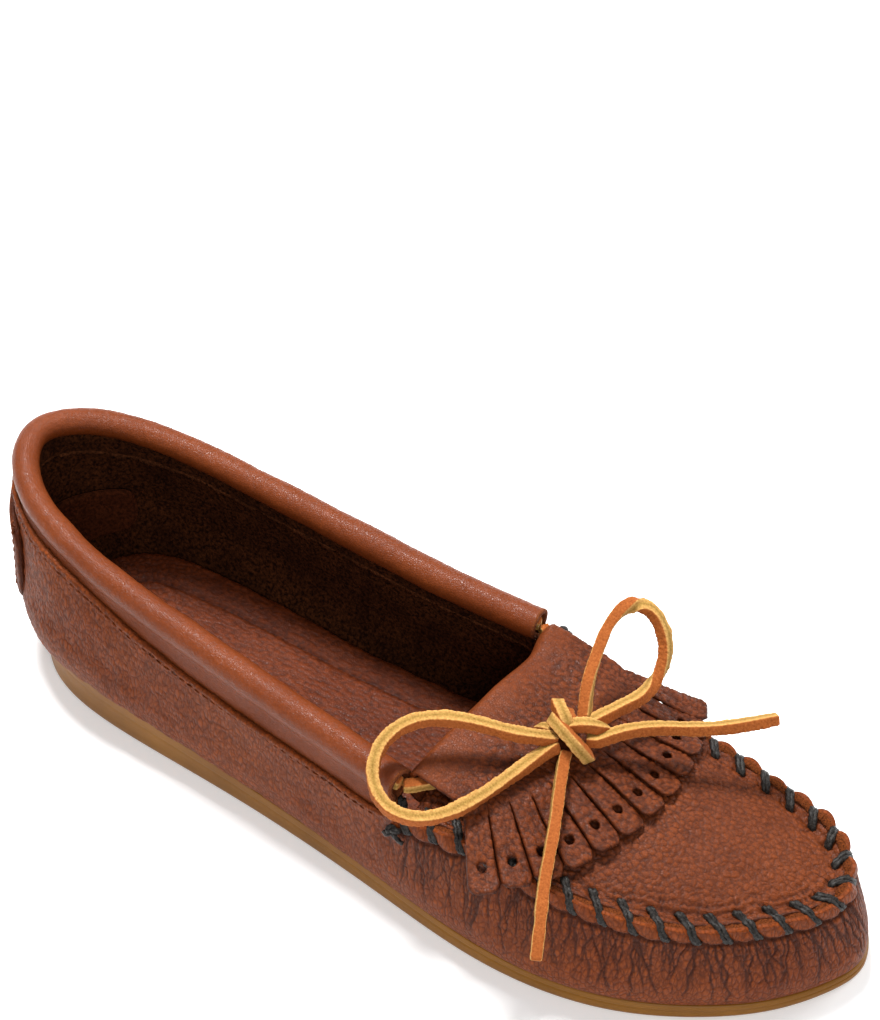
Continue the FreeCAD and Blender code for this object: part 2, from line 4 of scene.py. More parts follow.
import bpy
import bmesh
import numpy as np
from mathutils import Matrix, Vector, noise


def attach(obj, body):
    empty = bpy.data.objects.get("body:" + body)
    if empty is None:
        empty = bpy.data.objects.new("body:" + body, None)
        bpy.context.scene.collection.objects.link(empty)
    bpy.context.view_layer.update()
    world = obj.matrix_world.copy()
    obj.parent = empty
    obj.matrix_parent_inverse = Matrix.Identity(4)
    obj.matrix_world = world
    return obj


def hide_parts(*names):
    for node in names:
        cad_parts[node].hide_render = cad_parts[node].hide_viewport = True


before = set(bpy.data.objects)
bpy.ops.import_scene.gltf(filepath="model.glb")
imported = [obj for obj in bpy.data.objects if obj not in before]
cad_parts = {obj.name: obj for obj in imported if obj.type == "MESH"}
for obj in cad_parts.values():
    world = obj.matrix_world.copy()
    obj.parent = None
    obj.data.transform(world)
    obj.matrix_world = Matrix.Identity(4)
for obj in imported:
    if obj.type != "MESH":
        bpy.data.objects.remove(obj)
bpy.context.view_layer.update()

# A right-foot women's moccasin, in metres. +X runs to the toe, +Y to the big toe
# side, +Z up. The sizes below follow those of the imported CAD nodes.
MM = 0.001
rng = random.Random(11)

# Long tilted planes of the sole: heights at the heel end and at the toe end
HALF_LENGTH = 0.125
FEATHER = (0.0106, 0.0037)
BED = (0.0048, 0.0024)
LINER_TOP = (0.0105, 0.0081)
SWELL_T = 0.35                             # share of the wall's height where it swells most

# Leather thicknesses, the collar roll's radius at most, and the whipstitches
BODY_T = 0.0018
PLUG_T = 0.0016
KILTIE_T = 0.0015
STRIP_T = 0.0012
ROLL_R = 0.0044
STITCH_COUNT = 31

# Stations round the shoe from the heel, along the little toe side, round the
# toe and back: sole outline x, y; top edge of the body x, y, z; swell of the wall
STATIONS = [
    ((-0.1188, -0.0012), (-0.1246, -0.0005, 0.0548), 0.0050),
    ((-0.1145, -0.0128), (-0.1195, -0.0128, 0.0535), 0.0048),
    ((-0.1025, -0.0238), (-0.1065, -0.0222, 0.0518), 0.0040),
    ((-0.0840, -0.0294), (-0.0880, -0.0273, 0.0492), 0.0031),
    ((-0.0580, -0.0305), (-0.0600, -0.0302, 0.0422), 0.0026),
    ((-0.0300, -0.0310), (-0.0300, -0.0321, 0.0382), 0.0024),
    ((-0.0020, -0.0328), (-0.0020, -0.0342, 0.0369), 0.0024),
    ((0.0200, -0.0350), (0.0170, -0.0356, 0.0372), 0.0026),
    ((0.0400, -0.0366), (0.0380, -0.0335, 0.0396), 0.0028),
    ((0.0600, -0.0353), (0.0585, -0.0318, 0.0367), 0.0028),
    ((0.0800, -0.0294), (0.0780, -0.0270, 0.0333), 0.0024),
    ((0.0980, -0.0188), (0.0950, -0.0182, 0.0306), 0.0020),
    ((0.1120, -0.0062), (0.1070, -0.0063, 0.0290), 0.0018),
    ((0.1210, 0.0075), (0.1140, 0.0055, 0.0284), 0.0015),
    ((0.1226, 0.0170), (0.1138, 0.0150, 0.0283), 0.0006),
    ((0.1165, 0.0270), (0.1085, 0.0228, 0.0289), 0.0000),
    ((0.1040, 0.0340), (0.0985, 0.0272, 0.0302), 0.0003),
    ((0.0840, 0.0383), (0.0810, 0.0296, 0.0328), 0.0010),
    ((0.0620, 0.0386), (0.0600, 0.0305, 0.0363), 0.0016),
    ((0.0400, 0.0366), (0.0360, 0.0318, 0.0398), 0.0020),
    ((0.0180, 0.0330), (0.0140, 0.0350, 0.0374), 0.0024),
    ((-0.0060, 0.0294), (-0.0060, 0.0336, 0.0368), 0.0030),
    ((-0.0340, 0.0275), (-0.0340, 0.0318, 0.0388), 0.0032),
    ((-0.0620, 0.0270), (-0.0620, 0.0298, 0.0426), 0.0032),
    ((-0.0870, 0.0252), (-0.0890, 0.0270, 0.0494), 0.0032),
    ((-0.1035, 0.0204), (-0.1070, 0.0212, 0.0519), 0.0038),
    ((-0.1145, 0.0102), (-0.1196, 0.0116, 0.0534), 0.0046),
]
COUNT = len(STATIONS)
NEAR_THROAT, FAR_THROAT = 7, 20            # stations where the collar ends

# Centre line of the rolled collar on the little toe side, heel to throat
ROLL_LINE = [
    (-0.1215, 0.0000, 0.0599),
    (-0.1143, 0.0126, 0.0580),
    (-0.0996, 0.0199, 0.0554),
    (-0.0793, 0.0239, 0.0524),
    (-0.0556, 0.0258, 0.0500),
    (-0.0307, 0.0274, 0.0478),
    (-0.0058, 0.0289, 0.0460),
    (0.0174, 0.0310, 0.0454),
]

# x, height of the middle line of the plug and of the kiltie; and x, how far the
# kiltie falls from there to its sides
PLUG_RIDGE = [(0.0120, 0.0456), (0.0220, 0.0450), (0.0400, 0.0442), (0.0520, 0.0432),
              (0.0600, 0.0420), (0.0780, 0.0386), (0.0940, 0.0348), (0.1060, 0.0314),
              (0.1160, 0.0285), (0.1260, 0.0265)]
KILTIE_RIDGE = [(0.0120, 0.0520), (0.0220, 0.0515), (0.0400, 0.0493), (0.0600, 0.0448),
                (0.0740, 0.0418), (0.0860, 0.0388)]
KILTIE_CROWN = [(0.0120, 0.0050), (0.0220, 0.0050), (0.0400, 0.0056), (0.0600, 0.0049),
                (0.0740, 0.0043), (0.0860, 0.0040)]
# Seam line of the plug: x, height, middle y, half width
SEAM_LINE = [(0.0120, 0.0400, 0.0000, 0.0340), (0.0220, 0.0398, 0.0000, 0.0335),
             (0.0400, 0.0396, -0.0008, 0.0325), (0.0600, 0.0365, -0.0006, 0.0312),
             (0.0780, 0.0332, 0.0013, 0.0285), (0.0940, 0.0305, 0.0044, 0.0232),
             (0.1060, 0.0290, 0.0072, 0.0160), (0.1160, 0.0283, 0.0100, 0.0100),
             (0.1260, 0.0275, 0.0110, 0.0080)]
PLUG_BACK_X = 0.0225

# Fringe of the kiltie: a fan of strips
FAN = (0.0070, 0.0065)
STRIP_COUNT = 12
STRIP_STEP = math.radians(7.2)
FIRST_STRIP = math.radians(-48.6)
SLIT_R, HOLE_R, TIP_R = 0.0440, 0.0586, 0.0653
FOLD_X = 0.0215
FOLD_NEAR_Y, FOLD_FAR_Y = -0.0275, 0.0300
TAIL_X = 0.0310

# Lace: the knot's middle, the thong's section, and the control points of each
# route, from the collar to the knot or from the knot outwards
KNOT = (0.0468, -0.0008, 0.0532)
LACE_W, LACE_H = 0.0032, 0.0029
LEAD_W, LEAD_H = 0.0029, 0.0026
NEAR_LEAD = [
    (0.0182, -0.0309, 0.0453), (0.0242, -0.0250, 0.0443), (0.0298, -0.0146, 0.0455),
    (0.0348, -0.0040, 0.0458), (0.0364, -0.0002, 0.0478), (0.0378, 0.0002, 0.0500),
    (0.0416, -0.0002, 0.0526),
]
FAR_LEAD = [
    (0.0182, 0.0310, 0.0453), (0.0246, 0.0270, 0.0440), (0.0312, 0.0196, 0.0447),
    (0.0372, 0.0122, 0.0450), (0.0394, 0.0092, 0.0474), (0.0406, 0.0076, 0.0498),
    (0.0438, 0.0040, 0.0524),
]
NEAR_LOOP = [
    (0.0426, -0.0050, 0.0546), (0.0368, -0.0102, 0.0572), (0.0294, -0.0138, 0.0598),
    (0.0210, -0.0184, 0.0612), (0.0146, -0.0234, 0.0602), (0.0114, -0.0302, 0.0574),
    (0.0132, -0.0376, 0.0544), (0.0196, -0.0424, 0.0516), (0.0274, -0.0412, 0.0498),
    (0.0332, -0.0346, 0.0490), (0.0370, -0.0264, 0.0498), (0.0402, -0.0176, 0.0510),
    (0.0428, -0.0100, 0.0522), (0.0442, -0.0064, 0.0526),
]
FAR_LOOP = [
    (0.0472, 0.0046, 0.0556), (0.0440, 0.0100, 0.0600), (0.0418, 0.0180, 0.0634),
    (0.0404, 0.0254, 0.0668), (0.0417, 0.0312, 0.0692), (0.0464, 0.0340, 0.0690),
    (0.0513, 0.0335, 0.0647), (0.0546, 0.0304, 0.0594), (0.0550, 0.0252, 0.0546),
    (0.0544, 0.0188, 0.0540), (0.0524, 0.0126, 0.0552), (0.0502, 0.0066, 0.0556),
    (0.0490, 0.0044, 0.0552),
]
NEAR_TAIL = [
    (0.0482, -0.0060, 0.0506), (0.0506, -0.0114, 0.0494), (0.0546, -0.0192, 0.0474),
    (0.0584, -0.0276, 0.0456), (0.0620, -0.0360, 0.0430), (0.0658, -0.0428, 0.0396),
    (0.0688, -0.0490, 0.0352),
]
FAR_TAIL = [
    (0.0526, 0.0020, 0.0536), (0.0566, 0.0074, 0.0546), (0.0630, 0.0140, 0.0536),
    (0.0702, 0.0196, 0.0522), (0.0776, 0.0264, 0.0514), (0.0846, 0.0344, 0.0514),
]


# --------------------------------------------------------------------------- numbers
def lerp(a, b, t):
    return a + (b - a) * t


def smooth(t):
    """0 to 1 with flat ends."""
    t = np.clip(t, 0.0, 1.0)
    return t * t * (3 - 2 * t)


def unit(vectors):
    return vectors / np.linalg.norm(vectors, axis=-1, keepdims=True)


def plane_z(x, ends):
    return lerp(ends[0], ends[1], (x + HALF_LENGTH) / (2 * HALF_LENGTH))


def feather_z(x):
    """Height at which the upper meets the rubber; the rim rises at the heel."""
    return plane_z(x, FEATHER) + 3.4 * MM * smooth((-0.02 - x) / 0.07)


def spline(knots, values, at):
    """Natural cubic through values at knots, read at the places in at."""
    knots = np.asarray(knots, float)
    values = np.asarray(values, float)
    gap = np.diff(knots)
    slope = (np.diff(values, axis=0).T / gap).T
    matrix = np.eye(len(knots))
    right = np.zeros_like(values)
    for i in range(1, len(knots) - 1):
        matrix[i, i - 1:i + 2] = gap[i - 1], 2 * (gap[i - 1] + gap[i]), gap[i]
        right[i] = 6 * (slope[i] - slope[i - 1])
    bend = np.linalg.solve(matrix, right)
    at = np.clip(at, knots[0], knots[-1])
    i = np.clip(np.searchsorted(knots, at, side="right") - 1, 0, len(knots) - 2)
    width = gap[i]
    b = (at - knots[i]) / width
    if values.ndim > 1:
        width, b = width[:, None], b[:, None]
    a = 1 - b
    curved = ((a ** 3 - a) * bend[i] + (b ** 3 - b) * bend[i + 1]) * width ** 2 / 6
    return a * values[i] + b * values[i + 1] + curved


def table_value(table, x, column=1):
    shape = np.shape(x)
    found = spline([row[0] for row in table], [row[column] for row in table], np.ravel(x))
    return found.reshape(shape)


def run_along(points):
    """Length of a polyline up to each of its points."""
    return np.append(0.0, np.cumsum(np.linalg.norm(np.diff(points, axis=0), axis=1)))


def read_line(line, run, at):
    """Points of a polyline at lengths along it."""
    return np.column_stack([np.interp(at, run, line[:, k]) for k in range(3)])


def resample(points, count):
    """A polyline's points, moved to even spacing."""
    run = run_along(points)
    return read_line(points, run, np.linspace(0.0, run[-1], count))


def even_curve(points, count):
    """Evenly spaced samples of the smooth curve through points."""
    points = np.asarray(points, float)
    chord = run_along(points)
    return resample(spline(chord, points, np.linspace(0.0, chord[-1], 12 * count)), count)


def ring_at(points, s):
    """The smooth closed curve through evenly numbered points, read at numbers s."""
    count = len(points)
    i = np.arange(count)
    matrix = np.zeros((count, count))
    matrix[i, i] = 4 / 6
    matrix[i, i - 1] = 1 / 6
    matrix[i, (i + 1) % count] = 1 / 6
    controls = np.linalg.solve(matrix, points)
    low = np.floor(s).astype(int)
    f = (s - low)[:, None]
    weights = [(1 - f) ** 3, 3 * f ** 3 - 6 * f ** 2 + 4, -3 * f ** 3 + 3 * f ** 2 + 3 * f + 1, f ** 3]
    return sum(w / 6 * controls[(low - 1 + k) % count] for k, w in enumerate(weights))


def plan_normals(ring):
    """Unit normals, in plan, of a closed ring that runs anticlockwise."""
    along = np.roll(ring, -1, 0) - np.roll(ring, 1, 0)
    return unit(np.column_stack([along[:, 1], -along[:, 0]]))


def ripple(points, size, seed, waves=14):
    """Smooth random height, about -1 to 1, with swells about size long."""
    random_source = np.random.default_rng(seed)
    total = np.zeros(points.shape[:-1])
    for _ in range(waves):
        direction = unit(random_source.normal(size=3))
        length = size * random_source.uniform(0.7, 1.6)
        total += np.sin(points @ direction * (2 * np.pi / length) + random_source.uniform(0, 7))
    return total / math.sqrt(waves)


def pebbles(points, size, stretch=(1.0, 1.0, 1.0)):
    """Height of a leather grain: 0 in its creases, 1 on its pebbles."""
    flat = points.reshape(-1, 3) / size * np.array(stretch)
    height = np.empty(len(flat))
    for i, place in enumerate(flat):
        near = noise.voronoi(place)[0]
        height[i] = near[1] - near[0]
    return smooth(np.clip(height / 0.42, 0, 1) * 0.5 + 0.5).reshape(points.shape[:-1]) * 2 - 1


# --------------------------------------------------------------------------- surfaces
SOLE_XY = np.array([s[0] for s in STATIONS])
TOP_XYZ = np.array([s[1] for s in STATIONS])
SWELL = np.array([s[2] for s in STATIONS])
SOLE_N = plan_normals(SOLE_XY)
TOP_N = plan_normals(TOP_XYZ[:, :2])

# The leather stands out a little round the toe, and the sole ends shorter at the heel
PLACES = np.arange(COUNT)
TOE = smooth((PLACES - 8) / 4) * smooth((19 - PLACES) / 4)
HEEL = smooth((2.5 - np.minimum(PLACES, COUNT - PLACES)) / 2.5)
TOE_TOP = smooth((PLACES - 12) / 2.2) * smooth((19 - PLACES) / 4)
SOLE_XY = SOLE_XY + SOLE_N * (0.9 * TOE - 2.4 * HEEL)[:, None] * MM
TOP_XYZ[:, :2] += TOP_N * (3.5 * TOE_TOP)[:, None] * MM
SOLE_EDGE = 1.1 + 0.3 * TOE                # how far the rubber stands out, in millimetres


def sole_ring(inset, s, height=np.zeros_like):
    """Points on the sole's outline moved in by inset; height is a function of x."""
    ring = ring_at(SOLE_XY - SOLE_N * inset, s)
    return np.column_stack([ring, height(ring[:, 0])])


def wall(s, heights, depth=0.0):
    """Rows of points on the body's wall, one row for each height from 0 at the
    sole to 1 at the top edge, at station numbers s."""
    rows = []
    for t in heights:
        normal = lerp(SOLE_N, TOP_N, t)
        rise = 1 - (1 - min(t, SWELL_T) / SWELL_T) ** 2
        fall = (1 - max(0.0, t - SWELL_T) / (1 - SWELL_T)) ** 0.8
        push = SWELL * rise * fall - depth
        xy = lerp(SOLE_XY, TOP_XYZ[:, :2], t * t) + normal * push[:, None]
        z = lerp(feather_z(SOLE_XY[:, 0]) + 0.3 * MM, TOP_XYZ[:, 2], t)
        rows.append(ring_at(np.column_stack([xy, z]), s))
    return np.array(rows)


def seam_u(x, y):
    """Place across the plug: 0 in the middle, -1 and 1 at its seam."""
    return (y - table_value(SEAM_LINE, x, 2)) / table_value(SEAM_LINE, x, 3)


def plug_z(x, y):
    """The plug's upper face."""
    edge = table_value(SEAM_LINE, x, 1)
    return edge + (table_value(PLUG_RIDGE, x) - edge) * np.maximum(1 - seam_u(x, y) ** 2, 0.0)


def kiltie_z(x, y):
    """The kiltie's upper face as it is packed."""
    u = np.abs(seam_u(x, y))
    droop = np.where(u < 1, u * u, 1 + 1.2 * (u - 1))
    return table_value(KILTIE_RIDGE, x) - table_value(KILTIE_CROWN, x) * droop


def kiltie_top(x, y):
    """The same as it looks: it puffs up behind, towards the big toe side."""
    return kiltie_z(x, y) + 2.2 * MM * smooth((y - 0.012) / 0.014) * smooth((0.060 - x) / 0.025)


SEAM_PLACES = np.linspace(NEAR_THROAT - 1, FAR_THROAT + 1, 1501)
SEAM_RUN = run_along(ring_at(TOP_XYZ, SEAM_PLACES))
SEAM_START, SEAM_END = np.interp((NEAR_THROAT, FAR_THROAT), SEAM_PLACES, SEAM_RUN)
PITCH = (SEAM_END - SEAM_START) / STITCH_COUNT


def seam_phase(s):
    """Place along the seam in stitches: whole numbers lie on a stitch."""
    return (np.interp(s, SEAM_PLACES, SEAM_RUN) - SEAM_START) / PITCH - 0.5


def phase_station(phase):
    """Station number at a place along the seam in stitches."""
    return np.interp(SEAM_START + (np.asarray(phase) + 0.5) * PITCH, SEAM_RUN, SEAM_PLACES)


# --------------------------------------------------------------------------- meshes
def grid_faces(rows, columns, close_rows=False, close_columns=False):
    i = np.arange(rows if close_rows else rows - 1)
    j = np.arange(columns if close_columns else columns - 1)
    i, j = np.meshgrid(i, j, indexing="ij")
    below = (i + 1) % rows
    right = (j + 1) % columns
    corners = [i * columns + j, i * columns + right, below * columns + right, below * columns + j]
    return np.stack(corners, -1).reshape(-1, 4)


def grid_normals(grid, closed=False):
    """Unit normals of a grid of rows; closed says that its rows are rings."""
    if closed:
        along = np.roll(grid, -1, 1) - np.roll(grid, 1, 1)
    else:
        along = np.gradient(grid, axis=1)
    across = np.gradient(grid, axis=0)
    normals = np.cross(along, across)
    size = np.linalg.norm(normals, axis=-1, keepdims=True)
    return normals / np.maximum(size, 1e-15)


def across_faces(start, columns):
    """Cap of a ring whose second half mirrors its first: strips from side to side."""
    half = columns // 2
    faces = []
    for j in range(half):
        a = (columns - j) % columns
        faces.append((start + j, start + j + 1, start + columns - j - 1, start + a))
    return np.array(faces)


def joined(parts):
    """One shape from several: their points and faces, with their marks."""
    points, faces, marks = [], [], {}
    total = 0
    for part_points, part_faces, *part_marks in parts:
        points.append(part_points)
        faces.append(part_faces + total)
        total += len(part_points)
        for key, values in (part_marks[0] if part_marks else {}).items():
            marks.setdefault(key, []).append(values)
    marks = {key: np.concatenate(values) for key, values in marks.items()}
    return np.concatenate(points), np.concatenate(faces), marks


def piece(name, shape, materials, nodes, body="shoe", face_slots=None, weld=True):
    """Mesh object that rides on a body and stands for the CAD nodes named. Its
    shape is points and faces, and a dictionary of marks where it has them."""
    points, faces, *marks = shape
    mesh = bpy.data.meshes.new(name)
    corners = [tuple(dict.fromkeys(face)) for face in faces.tolist()]
    mesh.from_pydata(np.reshape(points, (-1, 3)).tolist(), [], corners)
    for key, values in (marks[0] if marks else {}).items():
        layer = mesh.attributes.new(key, "FLOAT", "POINT")
        layer.data.foreach_set("value", np.ravel(values).astype(np.float32))
    for material in materials:
        mesh.materials.append(material)
    if face_slots is not None:
        mesh.polygons.foreach_set("material_index", np.asarray(face_slots, np.int32))
    work = bmesh.new()
    work.from_mesh(mesh)
    if weld:
        bmesh.ops.remove_doubles(work, verts=work.verts, dist=0.002 * MM)
    bmesh.ops.recalc_face_normals(work, faces=work.faces)
    work.to_mesh(mesh)
    work.free()
    mesh.shade_smooth()
    made = bpy.data.objects.new(name, mesh)
    bpy.context.scene.collection.objects.link(made)
    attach(made, body)
    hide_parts(*nodes)
    return made


def add_modifier(made, kind, **settings):
    modifier = made.modifiers.new(kind.title(), kind)
    for key, value in settings.items():
        setattr(modifier, key, value)
    return modifier


def capped_rings(rings):
    """Solid from a stack of closed rings, filled from side to side at its ends."""
    columns = len(rings[0])
    faces = grid_faces(len(rings), columns, close_columns=True)
    caps = [across_faces(0, columns), across_faces((len(rings) - 1) * columns, columns)]
    return np.array(rings).reshape(-1, 3), np.concatenate([faces] + caps)


def raised(grid, height):
    """The grid moved up by height."""
    return np.dstack([grid[..., :2], grid[..., 2] + height])


def thick_sheet(top, under):
    """Closed solid from two grids that face each other."""
    rows, columns = top.shape[:2]
    face = grid_faces(rows, columns)
    total = rows * columns
    border = [(0, j) for j in range(columns)]
    border += [(i, columns - 1) for i in range(1, rows)]
    border += [(rows - 1, j) for j in range(columns - 2, -1, -1)]
    border += [(i, 0) for i in range(rows - 2, 0, -1)]
    loop = np.array([i * columns + j for i, j in border])
    after = np.roll(loop, -1)
    sides = np.stack([loop, after, after + total, loop + total], -1)
    points = np.concatenate([top.reshape(-1, 3), under.reshape(-1, 3)])
    return points, np.concatenate([face, face[:, ::-1] + total, sides])


def path_frames(path, hints, closed=False):
    """Side and up at each point of a path; hints are (share, up)."""
    if closed:
        along = unit(np.roll(path, -1, 0) - np.roll(path, 1, 0))
    else:
        along = unit(np.gradient(path, axis=0))
    shares, ways = zip(*hints)
    up = read_line(np.array(ways), shares, np.linspace(0, 1, len(path)))
    up = unit(up - along * np.sum(up * along, axis=1, keepdims=True))
    return np.cross(along, up), up


def capped_tube(rings, closed=False):
    """Faces of a tube from its rings, with its ends filled."""
    count, sides = rings.shape[:2]
    points = rings.reshape(-1, 3)
    faces = grid_faces(count, sides, close_rows=closed, close_columns=True)
    if closed:
        return points, faces
    points = np.concatenate([points, rings[:1].mean(1), rings[-1:].mean(1)])
    j = np.arange(sides)
    after = (j + 1) % sides
    first = np.stack([after, j, np.full(sides, len(points) - 2), np.full(sides, len(points) - 2)], -1)
    last_row = (count - 1) * sides
    end = np.full(sides, len(points) - 1)
    last = np.stack([last_row + j, last_row + after, end, end], -1)
    return points, np.concatenate([faces, first, last])


def rope(path, radius, sides=9, plies=3, lay=2.4 * MM, twist=0.0):
    """Twisted thread along a path: a tube whose section has a lobe for each ply."""
    along = unit(np.gradient(path, axis=0))
    side = unit(np.cross(along, (0.13, 0.21, 1.0)))
    up = np.cross(side, along)
    run = run_along(path)
    angle = np.linspace(0, 2 * np.pi, sides, endpoint=False)
    turn = angle[None, :] * plies - (run / lay * 2 * np.pi)[:, None] + twist
    size = radius * (1 + 0.16 * np.cos(turn))
    rings = path[:, None] + size[..., None] * (
        np.cos(angle)[None, :, None] * side[:, None] + np.sin(angle)[None, :, None] * up[:, None])
    return capped_tube(rings)


# --------------------------------------------------------------------------- materials
def connect(tree, node, inputs):
    """Sets a node's inputs: one that is given a socket is linked."""
    for key, value in inputs.items():
        if isinstance(value, bpy.types.NodeSocket):
            tree.links.new(value, node.inputs[key])
        else:
            node.inputs[key].default_value = value


def add(tree, kind, inputs, **settings):
    """New shader node with its inputs and settings."""
    made = tree.nodes.new(kind)
    for key, value in settings.items():
        setattr(made, key, value)
    connect(tree, made, inputs)
    return made


def mix(tree, factor, a, b):
    """Colour that goes from a to b."""
    return add(tree, "ShaderNodeMix", {0: factor, 6: a, 7: b}, data_type="RGBA").outputs[2]


def ramp(tree, value, low, high, to_low=0.0, to_high=1.0):
    """Value mapped from low..high to to_low..to_high, and kept inside."""
    inputs = {"Value": value, "From Min": low, "From Max": high, "To Min": to_low, "To Max": to_high}
    return add(tree, "ShaderNodeMapRange", inputs, clamp=True).outputs[0]


def mark(tree, name):
    """A mark that a piece's points carry."""
    return add(tree, "ShaderNodeAttribute", {}, attribute_name=name).outputs["Fac"]


def noise_value(tree, place, size, detail=3.0, roughness=0.55):
    inputs = {"Vector": place, "Scale": 1 / size, "Detail": detail, "Roughness": roughness}
    return add(tree, "ShaderNodeTexNoise", inputs).outputs["Fac"]


def start_material(name):
    """Material with its node tree, its main shader and object coordinates."""
    material = bpy.data.materials.new(name)
    material.use_nodes = True
    tree = material.node_tree
    shader = tree.nodes["Principled BSDF"]
    place = add(tree, "ShaderNodeTexCoord", {}).outputs["Object"]
    return material, tree, shader, place


def dress(tree, shader, colour, normal, roughness, shine):
    """Links or sets what the main shader shows."""
    connect(tree, shader, {"Base Color": colour, "Normal": normal, "Roughness": roughness,
                           "Specular IOR Level": shine})


def bump(tree, height, distance, strength=1.0, normal=None):
    inputs = {"Height": height, "Distance": distance, "Strength": strength}
    if normal is not None:
        inputs["Normal"] = normal
    return add(tree, "ShaderNodeBump", inputs).outputs["Normal"]


def leather(name, dark, middle, light, pebble, pebble_bump, roughness, stretch=(1.0, 1.0, 1.0),
            raw=(0.22, 0.060, 0.015, 1), crease_shade=0.3, shine=0.16):
    """Grained leather. The mark grain paints shade into modelled creases, pebble valleys, hollows and
    rounded edges, and raw is a cut edge.
    """
    material, tree, shader, place = start_material(name)
    stretched = add(tree, "ShaderNodeMapping", {"Vector": place, "Scale": stretch}).outputs[0]
    wander = add(tree, "ShaderNodeTexNoise", {"Vector": stretched, "Scale": 1 / (2.5 * pebble)})
    bent = add(tree, "ShaderNodeVectorMath", {0: wander.outputs["Color"], 1: (pebble, pebble, pebble)},
               operation="MULTIPLY")
    bent = add(tree, "ShaderNodeVectorMath", {0: stretched, 1: bent.outputs[0]}, operation="ADD")
    cells = add(tree, "ShaderNodeTexVoronoi", {"Vector": bent.outputs[0], "Scale": 1 / pebble},
                feature="DISTANCE_TO_EDGE")
    rise = ramp(tree, cells.outputs["Distance"], 0.0, 0.22)
    fine = noise_value(tree, place, 0.45 * MM, 5.0)
    broad = ramp(tree, noise_value(tree, place, 22 * MM, 4.0), 0.3, 0.7)
    speck = ramp(tree, noise_value(tree, place, 1.1 * MM, 4.0), 0.35, 0.7)
    fuzz = noise_value(tree, place, 0.35 * MM, 6.0, 0.7)
    colour = mix(tree, broad, middle, light)
    colour = mix(tree, ramp(tree, speck, 0, 1, 0.0, 0.35), colour, dark)
    # painted shade: the edges of the grain's cells are darkened towards the dark colour
    colour = mix(tree, ramp(tree, rise, 0, 1, crease_shade, 0.0), colour, dark)
    # painted shade carried by the grain mark: darker in pebble valleys, folds, under lips and on shaded
    # edges
    colour = mix(tree, ramp(tree, mark(tree, "grain"), 0.0, 1.0, 0.0, 0.8), colour, dark)
    colour = mix(tree, mark(tree, "raw"), colour, mix(tree, ramp(tree, fuzz, 0.35, 0.65), dark, raw))
    worn = add(tree, "ShaderNodeMath", {0: rise, 1: speck}, operation="MULTIPLY").outputs[0]
    gloss = ramp(tree, worn, 0, 1, roughness[1], roughness[0])
    rough = add(tree, "ShaderNodeMath", {0: gloss, 1: mark(tree, "raw")}, operation="MAXIMUM").outputs[0]
    normal = bump(tree, fine, 0.05 * MM, 0.8, bump(tree, rise, pebble_bump))
    dress(tree, shader, colour, normal, rough, shine)
    return material


def fibrous(name, dark, light, size, detail, spread, height, roughness, shine, patches=0.0):
    """Two-tone matte material, such as suede, thread, board or foam. spread is the
    range of noise between the tones, and patches is how much of it is all dark."""
    material, tree, shader, place = start_material(name)
    fibres = noise_value(tree, place, size, detail, 0.7)
    broad = noise_value(tree, place, 14 * MM, 3.0)
    colour = mix(tree, ramp(tree, fibres, *spread), dark, light)
    colour = mix(tree, ramp(tree, broad, 0.35, 0.65, patches, 0.0), colour, dark)
    dress(tree, shader, colour, bump(tree, fibres, height), roughness, shine)
    return material


def suede(name, dark, light, nap=0.9 * MM):
    """Napped flesh side of leather."""
    return fibrous(name, dark, light, nap, 6.0, (0.4, 0.72), 0.5 * MM, 0.95, 0.06, patches=0.5)


def thread(name, dark, light, roughness):
    return fibrous(name, dark, light, 0.5 * MM, 5.0, (0.45, 0.75), 0.12 * MM, roughness, 0.2)


def pressed_board(name, dark, light, size):
    """Fibre board or foam of the hidden layers."""
    return fibrous(name, dark, light, size, 6.0, (0.3, 0.7), 0.1 * MM, 0.9, 0.5)


def thong_leather(name):
    """Lace leather: orange grain sides, tan cut sides (mark tan) with an olive core (mark core)."""
    material, tree, shader, place = start_material(name)
    fine = noise_value(tree, place, 0.55 * MM, 5.0, 0.65)
    broad = noise_value(tree, place, 9 * MM, 3.0)
    grain = mix(tree, ramp(tree, fine, 0.3, 0.72), (0.21, 0.050, 0.009, 1), (0.43, 0.125, 0.028, 1))
    grain = mix(tree, ramp(tree, broad, 0.4, 0.7, 0.0, 0.4), grain, (0.27, 0.070, 0.014, 1))
    cut = ramp(tree, fine, 0.3, 0.7)
    tan = mix(tree, cut, (0.40, 0.19, 0.048, 1), (0.70, 0.40, 0.13, 1))
    olive = mix(tree, cut, (0.17, 0.090, 0.016, 1), (0.36, 0.215, 0.050, 1))
    colour = mix(tree, mark(tree, "tan"), grain, mix(tree, mark(tree, "core"), tan, olive))
    dress(tree, shader, colour, bump(tree, fine, 0.22 * MM), 0.8, 0.12)
    return material


def gum_rubber(name):
    material, tree, shader, place = start_material(name)
    broad = noise_value(tree, place, 30 * MM, 3.0)
    fine = noise_value(tree, place, 0.8 * MM, 4.0)
    colour = mix(tree, ramp(tree, broad, 0.3, 0.7), (0.165, 0.062, 0.003, 1), (0.235, 0.094, 0.006, 1))
    colour = mix(tree, ramp(tree, fine, 0.55, 0.8, 0.0, 0.25), colour, (0.10, 0.038, 0.004, 1))
    dress(tree, shader, colour, bump(tree, fine, 0.03 * MM), 0.42, 0.25)
    return material
